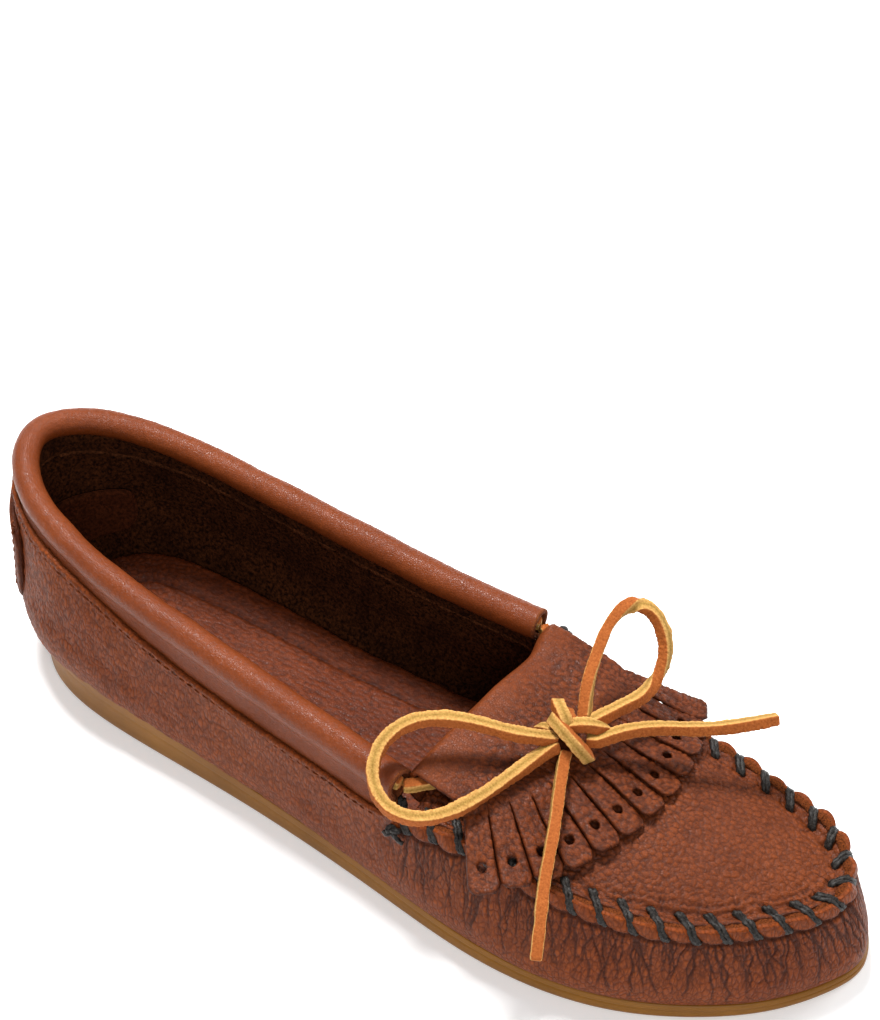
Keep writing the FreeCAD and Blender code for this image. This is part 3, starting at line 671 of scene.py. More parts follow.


# dark brown of the leather's random specks and cut-edge fuzz, and of the painted shade in its creases and
# pebble valleys
SPECK_AND_CREASE_SHADE = (0.018, 0.0032, 0.0009, 1)
UPPER = leather("upper_leather", SPECK_AND_CREASE_SHADE, (0.150, 0.030, 0.0050, 1), (0.200, 0.043, 0.0078, 1),
                0.62 * MM, 0.06 * MM, (0.33, 0.52))
WALL = leather("wall_leather", SPECK_AND_CREASE_SHADE, (0.184, 0.035, 0.0044, 1), (0.234, 0.049, 0.0072, 1),
               1.15 * MM, 0.10 * MM, (0.38, 0.58), stretch=(1.0, 1.0, 0.4), raw=(0.17, 0.042, 0.009, 1),
               crease_shade=0.42, shine=0.11)
COLLAR = leather("collar_leather", (0.065, 0.0130, 0.0030, 1), (0.152, 0.029, 0.0048, 1),
                 (0.202, 0.042, 0.0075, 1), 0.5 * MM, 0.05 * MM, (0.27, 0.42), shine=0.2)
LINER = leather("liner_leather", (0.020, 0.0032, 0.0009, 1), (0.135, 0.023, 0.0032, 1),
                (0.188, 0.035, 0.0055, 1), 0.62 * MM, 0.05 * MM, (0.36, 0.58))
LINING = suede("suede_lining", (0.010, 0.0024, 0.0008, 1), (0.125, 0.036, 0.0110, 1))
COUNTER = suede("counter_suede", (0.030, 0.0068, 0.0022, 1), (0.13, 0.031, 0.0100, 1))
TATTER = suede("tattered_edge", (0.035, 0.010, 0.0035, 1), (0.24, 0.080, 0.028, 1), 0.7 * MM)
THONG = thong_leather("lace_leather")
WAXED = thread("waxed_thread", (0.0065, 0.0050, 0.0042, 1), (0.060, 0.052, 0.045, 1), 0.42)
SEWING = thread("sewing_thread", (0.12, 0.026, 0.006, 1), (0.24, 0.058, 0.015, 1), 0.6)
RUBBER = gum_rubber("gum_rubber")
BOARD = pressed_board("fibre_board", (0.070, 0.036, 0.018, 1), (0.16, 0.090, 0.045, 1), 1.2 * MM)
FOAM = pressed_board("foam", (0.10, 0.055, 0.028, 1), (0.19, 0.12, 0.065, 1), 0.8 * MM)


# --------------------------------------------------------------------------- camera
def make_camera():
    azimuth, elevation = math.radians(34.6), math.radians(47.1)
    level = math.cos(elevation)
    back = Vector((math.sin(azimuth) * level, -math.cos(azimuth) * level, math.sin(elevation)))
    camera = bpy.data.objects.new("camera", bpy.data.cameras.new("camera"))
    camera.location = (0.2639, -0.3714, 0.5955)
    camera.rotation_mode = "QUATERNION"
    camera.rotation_quaternion = (-back).to_track_quat("-Z", "Y")
    camera.data.sensor_width = 36.0
    camera.data.lens = 100.2
    camera.data.clip_start = 0.01
    bpy.context.scene.collection.objects.link(camera)
    bpy.context.scene.camera = camera


# --------------------------------------------------------------------------- lace
def route_line(route, spacing=0.3 * MM):
    """Evenly spaced points along the NURBS line whose control points are the route."""
    curve = bpy.data.curves.new("route", "CURVE")
    curve.dimensions = "3D"
    line = curve.splines.new("NURBS")
    line.points.add(len(route) - 1)
    for point, place in zip(line.points, route):
        point.co = (*place, 1.0)
    line.order_u = 3
    line.use_endpoint_u = True
    line.resolution_u = 16
    carrier = bpy.data.objects.new("route", curve)
    mesh = bpy.data.meshes.new_from_object(carrier)
    points = np.array([v.co[:] for v in mesh.vertices])
    bpy.data.objects.remove(carrier)
    bpy.data.curves.remove(curve)
    bpy.data.meshes.remove(mesh)
    length = float(np.linalg.norm(np.diff(points, axis=0), axis=1).sum())
    return resample(points, max(8, round(length / spacing)))


SIDE_PLACES = (-0.86, -0.45, 0.0, 0.45, 0.86)


def thong(path, hints, seed, width=LACE_W, height=LACE_H, closed=False, end_round=0.6):
    """Square leather thong along a path. The cut sides face up and down in its
    own frame, and carry the marks tan and core."""
    random_source = np.random.default_rng(seed)
    side, up = path_frames(path, hints, closed)
    across, above, tan, core = [], [], [], []
    for quarter in range(4):
        for place in SIDE_PLACES:
            a, b = place, 1.0
            for _ in range(quarter):
                a, b = b, -a
            across.append(a)
            above.append(b)
            tan.append(1.0 if quarter % 2 == 0 else 0.0)
            core.append(1.0 - abs(place) / 0.9 if quarter % 2 == 0 else 0.0)
    across, above = np.array(across), np.array(above)
    count = len(path)
    size = 1 + ripple(path, 5 * MM, seed)[:, None] * 0.05
    if not closed:
        i = np.arange(count)[:, None]
        size = size * np.where((i < 2) | (i > count - 3), end_round + 0.3, 1.0)
    frayed = (np.abs(across) > 0.8) & (np.abs(above) > 0.8)
    tatter = np.where(frayed, 1.0, 0.35) * random_source.uniform(-0.13, 0.13, (count, len(across)))
    a = (across * size * (1 + tatter)) * width / 2
    b = (above * size * (1 + tatter * 0.6)) * height / 2
    rings = path[:, None] + a[..., None] * side[:, None] + b[..., None] * up[:, None]
    points, faces = capped_tube(rings, closed)
    spare = len(points) - count * len(across)
    marks = {
        "tan": np.append(np.tile(tan, count), np.full(spare, 0.5)),
        "core": np.append(np.tile(core, count), np.full(spare, 0.3)),
    }
    return points, faces, marks


def thong_piece(name, parts, nodes, body="shoe"):
    made = piece(name, joined(parts), [THONG], nodes, body)
    add_modifier(made, "SUBSURF", levels=1, render_levels=1)
    return made


def into_knot(line, both=True, reach=2.6 * MM):
    """The line with its ends carried on a little way into the knot."""
    steps = np.linspace(reach, 0.4 * MM, 7)[:, None]
    ends = [end + unit(np.array(KNOT) - end) * steps for end in (line[0], line[-1])]
    return np.concatenate([ends[0], line] + ([ends[1][::-1]] if both else []))


def make_free_lace():
    """The bow's two loops and two tails, each a free cord from the knot: its name
    and body, its route and length, what its far end is, and its ups."""
    up = (0.0, 0.0, 1.0)
    cords = [
        ("loop_near", "near_loop", NEAR_LOOP, 0.1053, "object",
         [(0.0, (0.1, 0.2, 1)), (0.5, up), (0.8, (0.25, -0.1, 1)), (1.0, (-0.2, 0.5, 0.8))]),
        ("loop_far", "far_loop", FAR_LOOP, 0.0770, "object",
         [(0.0, (-0.9, 0.3, 0.1)), (0.35, (-0.9, 0.1, 0.4)), (0.5, (-0.6, -0.3, -0.7)),
          (0.66, (-0.9, 0.2, 0.2)), (0.78, (-0.3, 0.2, 1.0)), (1.0, (-0.2, 0.4, 1.0))]),
        ("tail_near", "near_tail", NEAR_TAIL, 0.0506, "bare",
         [(0.0, (-1.0, -0.2, 0.3)), (1.0, (-1.0, -0.3, 0.2))]),
        ("tail_far", "far_tail", FAR_TAIL, 0.0461, "bare",
         [(0.0, (-0.2, 0.1, 1.0)), (1.0, (-0.5, 0.3, 0.85))]),
    ]
    for seed, (name, body, route, length, far_end, hints) in enumerate(cords, 1):
        line = into_knot(route_line(route), both=far_end == "object")
        made = thong_piece("bow_" + name, [thong(line, hints, seed)], ["lace_" + name], body)


def wrap(centre, long_way, short_way, long_r, short_r, seed, tilt):
    """Thong wound once round the knot in the plane of two directions. tilt turns
    its cut side a little to one side."""
    angle = np.linspace(0, 2 * np.pi, 90, endpoint=False)[:, None]
    outward = long_r * np.cos(angle) * long_way + short_r * np.sin(angle) * short_way
    hints = list(zip(np.linspace(0, 1, 90), unit(outward) + tilt))
    return thong(centre + outward, hints, seed, closed=True)


def make_knot():
    """Bow knot: a diagonal turn in front, a small turn above it and the end that
    passes over to become the far tail. Its places are measured from the knot's
    middle to the right, over it and towards whoever looks at it in front."""
    right = np.array((0.823, 0.568, 0.0))
    over = np.array((-0.416, 0.603, 0.681))
    towards = np.array((0.387, -0.560, 0.733))
    knot = np.array(KNOT)
    diagonal = unit(0.66 * right - 0.75 * over)
    steep = unit(0.42 * right - 0.90 * over)
    below = -0.75 * right - 0.66 * over
    front = wrap(knot + 0.4 * MM * towards, diagonal, towards, 6.1 * MM, 4.1 * MM, 21, 0.32 * below)
    above = wrap(knot - 1.7 * MM * right + 5.0 * MM * over - 0.4 * MM * towards, steep, towards,
                 3.5 * MM, 3.0 * MM, 22, 0.45 * right)
    places = [(-2.5, 1.0, -1.0), (-0.4, 2.9, 1.6), (3.0, 3.4, 2.2), (6.2, 2.8, 1.0), (8.5, 1.9, -1.4)]
    stops = [knot + MM * (a * right + b * over + c * towards) for a, b, c in places]
    face = over + 0.8 * towards
    passing = thong(even_curve(stops, 60), [(0.0, face), (1.0, face)], 23)
    thong_piece("bow_knot", [front, above, passing], ["lace_knot"])


def roll_radius(x):
    """The roll is thinnest at the heel."""
    return lerp(3.6 * MM, 4.2 * MM, smooth((x + 0.115) / 0.1))


def roll_centre(count):
    """Centre line of the roll from the near throat round the heel. Its top stays
    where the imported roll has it."""
    near = [(x, -y, z) for x, y, z in reversed(ROLL_LINE)]
    line = even_curve(near + ROLL_LINE[1:], count)
    line[:, 2] += ROLL_R - roll_radius(line[:, 0])
    return line


def make_held_lace():
    """The lace inside the rolled collar and the two leads under the kiltie."""
    line = roll_centre(700)
    along = np.gradient(line, axis=0)[::20]
    outward = unit(np.column_stack([-along[:, 1], along[:, 0], 0 * along[:, 2]]))
    hints = list(zip(np.linspace(0, 1, len(outward)), outward))
    thong_piece("lace_in_collar", [thong(line, hints, 5)], ["lace_collar_run"])
    for name, route, node, side in (("lace_lead_near_thong", NEAR_LEAD, "lace_lead_near", 1),
                                    ("lace_lead_far_thong", FAR_LEAD, "lace_lead_far", -1)):
        hints = [(0.0, (0.0, side, 0.0)), (0.35, (-0.7, 0.7 * side, 0.0)), (1.0, (-1.0, 0.0, 0.0))]
        thong_piece(name, [thong(route_line(route), hints, 6, LEAD_W, LEAD_H)], [node])


# --------------------------------------------------------------------------- upper
BACK_COLUMNS, TOE_COLUMNS = 220, 900
TOE_FROM, TOE_TO = NEAR_THROAT - 0.4, FAR_THROAT + 0.4
LEAN = 4.6 * MM                            # how far a stitch slants along the seam
INNER_SHIFT = LEAN / 2 / PITCH
LOBES = np.array([rng.uniform(0.85, 1.15) for _ in range(STITCH_COUNT + 3)])
CREASES_PER_STITCH, CREASE_LENGTH, CREASE_DEPTH = 13, 27 * MM, 0.42 * MM
WALL_PEBBLE, PLUG_PEBBLE, LINER_PEBBLE, PATCH_PEBBLE = 1.3 * MM, 1.7 * MM, 1.6 * MM, 1.5 * MM


def station_columns():
    """Station numbers round the shoe, close together round the toe."""
    parts = ((0.0, TOE_FROM, BACK_COLUMNS), (TOE_FROM, TOE_TO, TOE_COLUMNS), (TOE_TO, COUNT, BACK_COLUMNS))
    return np.concatenate([np.linspace(*part, endpoint=False) for part in parts])


def toe_share(s):
    return smooth((s - NEAR_THROAT + 0.15) / 0.3) * smooth((FAR_THROAT + 0.15 - s) / 0.3)


def lobe_height(phase):
    """Puckered leather between stitches: 0 at a stitch, about 1 between two."""
    size = LOBES[np.clip(np.floor(phase).astype(int) + 1, 0, len(LOBES) - 1)]
    return np.abs(np.sin(np.pi * phase)) ** 0.65 * size


def crease_field(phase, reach, source, per_stitch, length):
    """Thin folds that run away from the seam, thickest near the stitches. reach
    is the distance from the seam."""
    total = np.zeros(phase.shape)
    for k in range(-1, STITCH_COUNT + 1):
        for _ in range(per_stitch):
            start = source.uniform(-1, 1)
            start = 0.5 * start * abs(start) ** 0.6
            angle = start * 0.5 + source.normal() * 0.22
            bend = source.uniform(-0.06, 0.06)
            width = source.uniform(0.022, 0.040)
            end = source.uniform(0.3, 1.0) * length
            line = k + start + angle * reach / (10 * MM) + bend * np.sin(reach * 900 + k)
            close = np.abs(phase - line) < 0.2
            spot = np.exp(-((phase[close] - line[close]) / width) ** 2)
            fade = smooth((end - reach[close]) / (0.6 * length)) * smooth(reach[close] / MM + 0.2)
            total[close] = np.maximum(total[close], source.uniform(0.45, 1.0) * spot * fade)
    return total


def wall_relief(s, heights, base):
    """Push along the normal, lift, and a mark of painted shade in folds, pebble valleys and under the seam's
    shelf, over the outside of the wall.
    Round the toe the leather puffs into lobes over a shelf at the seam, and is
    pulled in and creased below it; the rest is pebbled and hangs a little slack."""
    s2, t2 = np.meshgrid(s, heights)
    source = np.random.default_rng(5)
    front = toe_share(s2)
    down = (1 - t2) * CREASE_LENGTH
    phase = seam_phase(s2) - INNER_SHIFT * np.clip(0.2 + down / (3.2 * MM), 0, 1)
    lobe = lobe_height(phase)
    edge = 1.8 * MM + 0.9 * MM * lobe
    shelf = smooth((edge - down) / (1.0 * MM) + 0.5)
    push = front * shelf * (1.6 * lobe - 0.5) * MM
    lift = front * (0.2 + 1.3 * lobe) * MM * smooth(1 - down / (3.4 * MM))
    under = 1 - shelf
    hug = front * np.exp(-((down - edge - 0.3 * MM) / (0.6 * MM)) ** 2)
    puff = front * under * 0.55 * MM * lobe * smooth(1 - down / (13 * MM)) - 0.45 * MM * hug
    reach = np.maximum(down - 1.9 * MM, 0.0)
    folds = front * under * crease_field(phase, reach, source, CREASES_PER_STITCH, CREASE_LENGTH)
    back = 1 - front
    slack = back * ripple(base * np.array((1.0, 1.0, 0.4)), 5 * MM, 8) * 0.10 * MM
    slack += ripple(base, 17 * MM, 3) * 0.22 * MM * smooth(t2 / 0.15)
    grain = pebbles(base, WALL_PEBBLE, (1.0, 1.0, 0.45))
    skin = (0.20 - 0.12 * front) * MM * grain * (1 - 0.5 * shelf * front)
    rim = back * smooth((t2 - 0.965) / 0.015) * 0.3 * MM
    heel = smooth((5 - np.minimum(s2, COUNT - s2)) / 3)
    bulge = (0.3 + 1.8 * heel) * MM * smooth(t2 / 0.09) * (1 - smooth((t2 - 0.08) / 0.4))
    total = push + puff - CREASE_DEPTH * folds + slack + skin + rim
    # painted shade: pebble valleys, the folds and the pulled-in band under the shelf are darkened
    valley_shade = (1 - grain) ** 1.2 * (1 - 0.5 * shelf * front)
    dark = np.clip(1.9 * folds + (0.55 - 0.1 * front) * valley_shade + 0.9 * hug, 0, 1)
    return total * smooth(t2 / 0.03) + bulge, lift, dark


def make_upper():
    """The wrap of the body: floor, outside of the wall, its raw top edge and its
    napped inside, as a stack of rings."""
    s = station_columns()
    foot = [0.0, 0.01, 0.022, 0.036, 0.052, 0.07]
    heights = np.concatenate([foot, np.linspace(0.09, 0.8, 72), np.linspace(0.808, 1.0, 28)])
    base = wall(s, heights)
    normals = grid_normals(base, closed=True)
    push, lift, dark = wall_relief(s, heights, base)
    outer = base + normals * push[..., None]
    outer[..., 2] += lift

    top_push, top_lift = push[-1], lift[-1]
    plan = normals[-1].copy()
    plan[:, 2] = 0.0
    plan = unit(plan)
    rough = ripple(base[-1], 1.1 * MM, 12) * 0.16 * MM
    lip = []
    for depth, rise in ((0.18, 0.3), (0.5, 0.46), (0.9, 0.36), (1.3, 0.32), (1.7, 0.2), (2.1, -0.1)):
        row = wall(s, [1.0], depth * MM)[0] + plan * (top_push * (1 - depth / 2.2))[:, None]
        row[:, 2] += top_lift + rise * MM + (rough if depth > 0.6 else 0.0)
        lip.append(row)
    inner_heights = [0.985, 0.95, 0.9, 0.85, 0.78, 0.7, 0.6, 0.5, 0.4, 0.3, 0.2, 0.1, 0.02]
    inner = wall(s, inner_heights, BODY_T)
    for row, t in zip(inner, inner_heights):
        near_top = smooth((t - 0.84) / 0.16)
        row[:, 2] += top_lift * near_top
        row += plan * (ripple(row, 5 * MM, 31) * 0.15 * MM)[:, None]
    below = sole_ring(2.9 * MM, s, lambda x: plane_z(x, BED) + 0.1 * MM)
    tuck = sole_ring(0.9 * MM, s, lambda x: feather_z(x) + 0.3 * MM)
    floor = sole_ring(4.7 * MM, s, lambda x: plane_z(x, BED) + 1.5 * MM)
    rings = [below, tuck, *outer, *lip, *inner, floor]
    points, faces = capped_rings(rings)
    first_lip = 2 + len(outer)
    first_inner = first_lip + len(lip)
    slots = np.zeros(len(faces), int)
    slots[first_inner * len(s):] = 1
    grain = np.zeros((len(rings), len(s)))
    # the outside's grain mark is the painted shade from the wall's relief
    grain[2:first_lip] = dark
    raw = np.zeros_like(grain)
    raw[first_lip + 2:first_inner] = 1.0
    piece("upper_wall", (points, faces, {"grain": grain, "raw": raw}), [WALL, LINING], ["moccasin_body"],
          face_slots=slots)


def seam_points(inset, count=1400):
    """Points of the seam moved in by inset, with their station numbers."""
    s = np.linspace(NEAR_THROAT - 0.3, FAR_THROAT + 0.3, count)
    xy = TOP_XYZ[:, :2] - TOP_N * inset
    return ring_at(np.column_stack([xy, TOP_XYZ[:, 2]]), s), s


def nearest_seam(points, line, s):
    """Distance to a seam line and the station number there, for each point."""
    flat = points.reshape(-1, 3)[:, :2]
    distance = np.empty(len(flat))
    station = np.empty(len(flat))
    for start in range(0, len(flat), 4000):
        part = flat[start:start + 4000]
        gap = np.linalg.norm(part[:, None] - line[None, :, :2], axis=-1)
        best = gap.argmin(1)
        distance[start:start + 4000] = gap[np.arange(len(part)), best]
        station[start:start + 4000] = s[best]
    return distance.reshape(points.shape[:-1]), station.reshape(points.shape[:-1])


def make_plug():
    line, s = seam_points(BODY_T - 0.3 * MM)
    toe = (NEAR_THROAT + FAR_THROAT) / 2
    near = (s < toe) & (line[:, 0] > PLUG_BACK_X)
    far = (s > toe) & (line[:, 0] > PLUG_BACK_X)
    rows, columns = 320, 231
    near_edge = resample(line[near], rows)
    far_edge = resample(line[far][::-1], rows)
    tip = (near_edge[-1] + far_edge[-1]) / 2
    near_edge[-1], far_edge[-1] = tip, tip
    even = np.linspace(0, 1, columns)
    across = lerp((1 - np.cos(np.pi * even)) / 2, even, 0.6)
    grid = lerp(near_edge[:, None], far_edge[:, None], across[None, :, None])
    x, y = grid[..., 0], grid[..., 1]
    grid[..., 2] = plug_z(x, y)
    distance, station = nearest_seam(grid, line, s)
    phase = seam_phase(station) + INNER_SHIFT * np.clip(0.3 + distance / (3.6 * MM), 0, 1)
    lobe = lobe_height(phase)
    lip = np.exp(-(distance / (1.6 * MM)) ** 2)
    pinch = np.exp(-((distance - 2.3 * MM) / (1.2 * MM)) ** 2)
    source = np.random.default_rng(9)
    folds = crease_field(phase, np.maximum(distance - 1.5 * MM, 0.0), source, 4, 8 * MM)
    ruck = np.sin((distance / (1.9 * MM) + 0.35 * ripple(grid, 9 * MM, 15)) * 2 * np.pi)
    ruck *= smooth(distance / (2 * MM)) * smooth((9 * MM - distance) / (5 * MM))
    ruck *= smooth((6.5 - seam_u(x, y) * 12) / 3)
    grain = pebbles(grid, PLUG_PEBBLE, (1.0, 1.1, 1.0))
    calm = 0.62 + 0.38 * smooth((0.100 - x) / 0.05)
    height = lip * (0.4 + 0.8 * lobe) * MM - pinch * (1.15 - lobe) * 0.7 * MM
    height += 0.46 * MM * grain * calm * smooth(distance / (1.5 * MM)) - 0.22 * MM * folds + 0.16 * MM * ruck
    height += ripple(grid, 14 * MM, 14) * 0.22 * MM * smooth(distance / (6 * MM))
    # painted shade in the pebble valleys, the folds and the gap at the seam; painted light on the rucks'
    # crests and shade in their troughs
    valley_shade = (1 - grain) ** 1.1 * calm
    gap = np.exp(-(distance / (0.35 * MM)) ** 2)
    dark = np.clip(valley_shade + 0.8 * folds + 0.6 * gap - 0.25 * ruck, 0, 1)
    marks = {"grain": np.append(dark, np.zeros(dark.size)), "raw": np.repeat((0.0, 1.0), dark.size)}
    points, faces = thick_sheet(raised(grid, height), raised(grid, -PLUG_T))
    piece("plug_panel", (points, faces, marks), [UPPER], ["plug"])


# --------------------------------------------------------------------------- kiltie
STRIP_COLUMNS, FLAP_ROWS = 16, 38
EDGE_ROUND = 0.5 * MM
NO_EDGE = 1.0                              # distance to a cut edge where there is none near
# How far each strip tilts to one side and droops at its tip, in millimetres
STRIP_LEAN = [0.15, 0.25, 0.3, 0.35, 0.5, 0.65, 0.75, 0.75, 0.7, 0.6, 0.5, 0.4]
STRIP_DROP = [0.6, 0.2, 0.0, 0.0, 0.0, 0.0, 0.0, 0.2, 0.5, 0.8, 1.8, 3.0]


def fold_place(share):
    """Points along the kiltie's fold, share 0 at its near end."""
    y = lerp(FOLD_NEAR_Y - 0.5 * MM, FOLD_FAR_Y + 0.5 * MM, share)
    return FOLD_X + lerp(-1.6 * MM, 4.2 * MM, share) - 3 * MM * smooth((share - 0.78) / 0.22), y


def fold_rows(share):
    """Round the kiltie's folded edge, from its tail under the plug to its top."""
    fold_x, y = fold_place(share)
    top = kiltie_top(fold_x, y)
    under = plug_z(fold_x, y) - PLUG_T - 0.4 * MM
    low = under - 1.6 * MM
    rows = []
    for back in (1.0, 0.6, 0.3):
        x = lerp(fold_x, TAIL_X, back)
        rows.append(np.column_stack([x, y, plug_z(x, y) - PLUG_T - 2.0 * MM]))
    for angle in np.linspace(-math.pi / 2, math.pi / 2, 17)[:-1]:
        depth = 0.55 * (top - low) / 2 * math.cos(angle)
        z = (top + low) / 2 + (top - low) / 2 * math.sin(angle)
        rows.append(np.column_stack([fold_x - depth, y, z]))
    return rows


def fan_places(radius, angle):
    return np.column_stack([FAN[0] + radius * np.cos(angle), FAN[1] + radius * np.sin(angle)])


def strip_grid(k, slit_r):
    """One strip of the fringe with its share of the flap: plan points, the
    distance to its nearest cut edge, and its lateral place."""
    c = np.linspace(0.0, 1.0, STRIP_COLUMNS + 1)
    share = (k + c) / STRIP_COUNT
    angle = FIRST_STRIP - STRIP_STEP / 2 + STRIP_STEP * (k + c)
    arc = fan_places(SLIT_R, angle)
    fold = np.column_stack(fold_place(share))
    rows, edge, side = [], [], []
    to_flap_edge = {0: c * STRIP_STEP * SLIT_R, STRIP_COUNT - 1: (1 - c) * STRIP_STEP * SLIT_R}
    for q in np.linspace(0.0, 1.0, FLAP_ROWS, endpoint=False):
        rows.append(lerp(fold, arc, q))
        edge.append(to_flap_edge.get(k, np.full_like(c, NO_EDGE)))
        side.append(c * 0.0)
    middle = FIRST_STRIP + STRIP_STEP * k
    before_tip = np.array((2.3, 1.8, 1.3, 0.8, 0.4, 0.0)) * MM
    for r in np.concatenate([np.linspace(SLIT_R, TIP_R - 2.8 * MM, 40), TIP_R - before_tip]):
        from_tip = (TIP_R - r) / (2.4 * MM)
        narrow = 1.04 - 0.42 * max(0.0, 1 - from_tip) ** 1.6
        open_slit = smooth((r - slit_r) / (1.5 * MM))
        half = STRIP_STEP / 2 - open_slit * 0.08 * MM / r
        lateral = (2 * c - 1) * half * narrow
        rows.append(fan_places(r, middle + lateral))
        gap = (half * narrow - np.abs(lateral)) * r if r >= slit_r else NO_EDGE
        edge.append(np.minimum(gap, np.full_like(c, max(TIP_R - r, 0.0))))
        side.append((2 * c - 1) * smooth((r - slit_r) / (9 * MM)))
    return np.array(rows), np.array(edge), np.array(side), middle


def punch(rows, faces, middle, radius=1.05 * MM):
    """Cuts the round hole: drops the faces inside it and rounds its border."""
    centre = fan_places(HOLE_R, middle)[0]
    flat = rows.reshape(-1, 2)
    inside = np.linalg.norm(flat[faces].mean(1) - centre, axis=1) < radius
    ring = np.intersect1d(faces[inside], faces[~inside])
    away = flat[ring] - centre
    flat[ring] = centre + unit(away) * radius
    return faces[~inside], np.linalg.norm(flat - centre, axis=1) - radius


def make_kiltie():
    parts = []
    source = np.random.default_rng(17)
    slits = [SLIT_R + source.uniform(-0.5, 3.5) * MM for _ in range(STRIP_COUNT + 1)]
    columns = STRIP_COLUMNS + 1
    for k in range(STRIP_COUNT):
        plan, edge, side, middle = strip_grid(k, slits[k])
        count = plan.shape[0]
        faces = grid_faces(count, columns)
        if k < STRIP_COUNT - 1:
            faces, from_hole = punch(plan, faces, middle)
            edge = np.minimum(edge, np.maximum(from_hole.reshape(edge.shape), 0.0))
        z = kiltie_top(plan[..., 0], plan[..., 1])
        grid = np.dstack([plan, z])
        lean = STRIP_LEAN[k] * MM
        drop = smooth((np.arange(count) - 42) / 42)[:, None] * STRIP_DROP[k] * MM
        curl = smooth((np.arange(count) - 40) / 44)[:, None] * source.uniform(-0.1, 0.45) * MM
        grain = pebbles(grid, PLUG_PEBBLE, (1.15, 0.9, 1.0))
        folds = 0.5 + 0.5 * ripple(grid * np.array((1.0, 0.35, 0.0)), 2.6 * MM, 23)
        calm = 1 - 0.7 * smooth((0.034 - plan[..., 0]) / 0.01)
        rounding = np.clip(1 - edge / EDGE_ROUND, 0, 1) ** 2
        lift = curl - drop - lean * side - 0.55 * MM * rounding
        lift += 0.25 * MM * (1 - side ** 2) * (np.abs(side) > 0)
        lift += (0.42 * grain - 0.14 * (1 - folds)) * MM * calm * (1 - rounding)
        lift += ripple(grid, 12 * MM, 41) * 0.25 * MM
        grid[..., 2] += lift
        grid[..., 1] -= 0.3 * drop
        turned = np.array(fold_rows((k + np.linspace(0, 1, columns)) / STRIP_COUNT))
        turned[..., 2] += ripple(turned, 12 * MM, 41) * 0.25 * MM
        whole = np.concatenate([turned, grid])
        start = grid_faces(len(turned) + 1, columns)
        faces = np.concatenate([start, faces + len(turned) * columns])
        # painted shade: darker in the pebble valleys and on the rounded cut edges
        dark = np.clip((1 - grain) ** 1.1 * calm + 0.6 * rounding, 0, 1)
        dark = np.concatenate([np.zeros(turned.shape[:2]), dark])
        parts.append((whole.reshape(-1, 3), faces, {"grain": dark.ravel()}))
    points, faces, marks = joined(parts)
    used = np.unique(faces)
    renumber = np.zeros(len(points), int)
    renumber[used] = np.arange(len(used))
    marks = {key: values[used] for key, values in marks.items()}
    made = piece("kiltie_flap", (points[used], renumber[faces], marks), [UPPER], ["kiltie"])
    add_modifier(made, "SOLIDIFY", thickness=KILTIE_T, offset=-1.0, use_rim=True)


# --------------------------------------------------------------------------- collar
def bezier(a, b, c, d, count):
    """Points on a Bezier curve, without its last one."""
    t = np.linspace(0, 1, count, endpoint=False)[:, None]
    return (1 - t) ** 3 * a + 3 * (1 - t) ** 2 * t * b + 3 * (1 - t) * t * t * c + t ** 3 * d


def collar_section(out, down, radius):
    """Section of the rolled strip about the roll's centre, x outward, y up:
    from its raw edge inside, round the roll and down to the body's top edge."""
    flange = np.array([(out - 4.4 * MM, -radius - 7.6 * MM), (out - 4.6 * MM, -radius - 1.8 * MM)])
    first, last = math.radians(246), math.radians(-38)
    turn = np.linspace(first, last, 34)
    roll = radius * np.column_stack([np.cos(turn), np.sin(turn)])
    enter = np.array((math.sin(first), -math.cos(first)))
    leave = np.array((math.sin(last), -math.cos(last)))
    foot = np.array((out - 0.85 * MM, down - 1.5 * MM))
    reach = np.linalg.norm(foot - roll[-1])
    inside = [lerp(flange[0], flange[1], t) for t in np.linspace(0, 1, 9, endpoint=False)]
    fillet = bezier(flange[1], flange[1] + (0, 1.1 * MM), roll[0] - enter * 0.8 * MM, roll[0], 6)
    outside = bezier(roll[-1], roll[-1] + leave * 0.25 * reach,
                     foot + np.array((0.02, 0.5)) * reach, foot, 16)
    return np.concatenate([inside, fillet, roll, outside[1:], foot[None]])


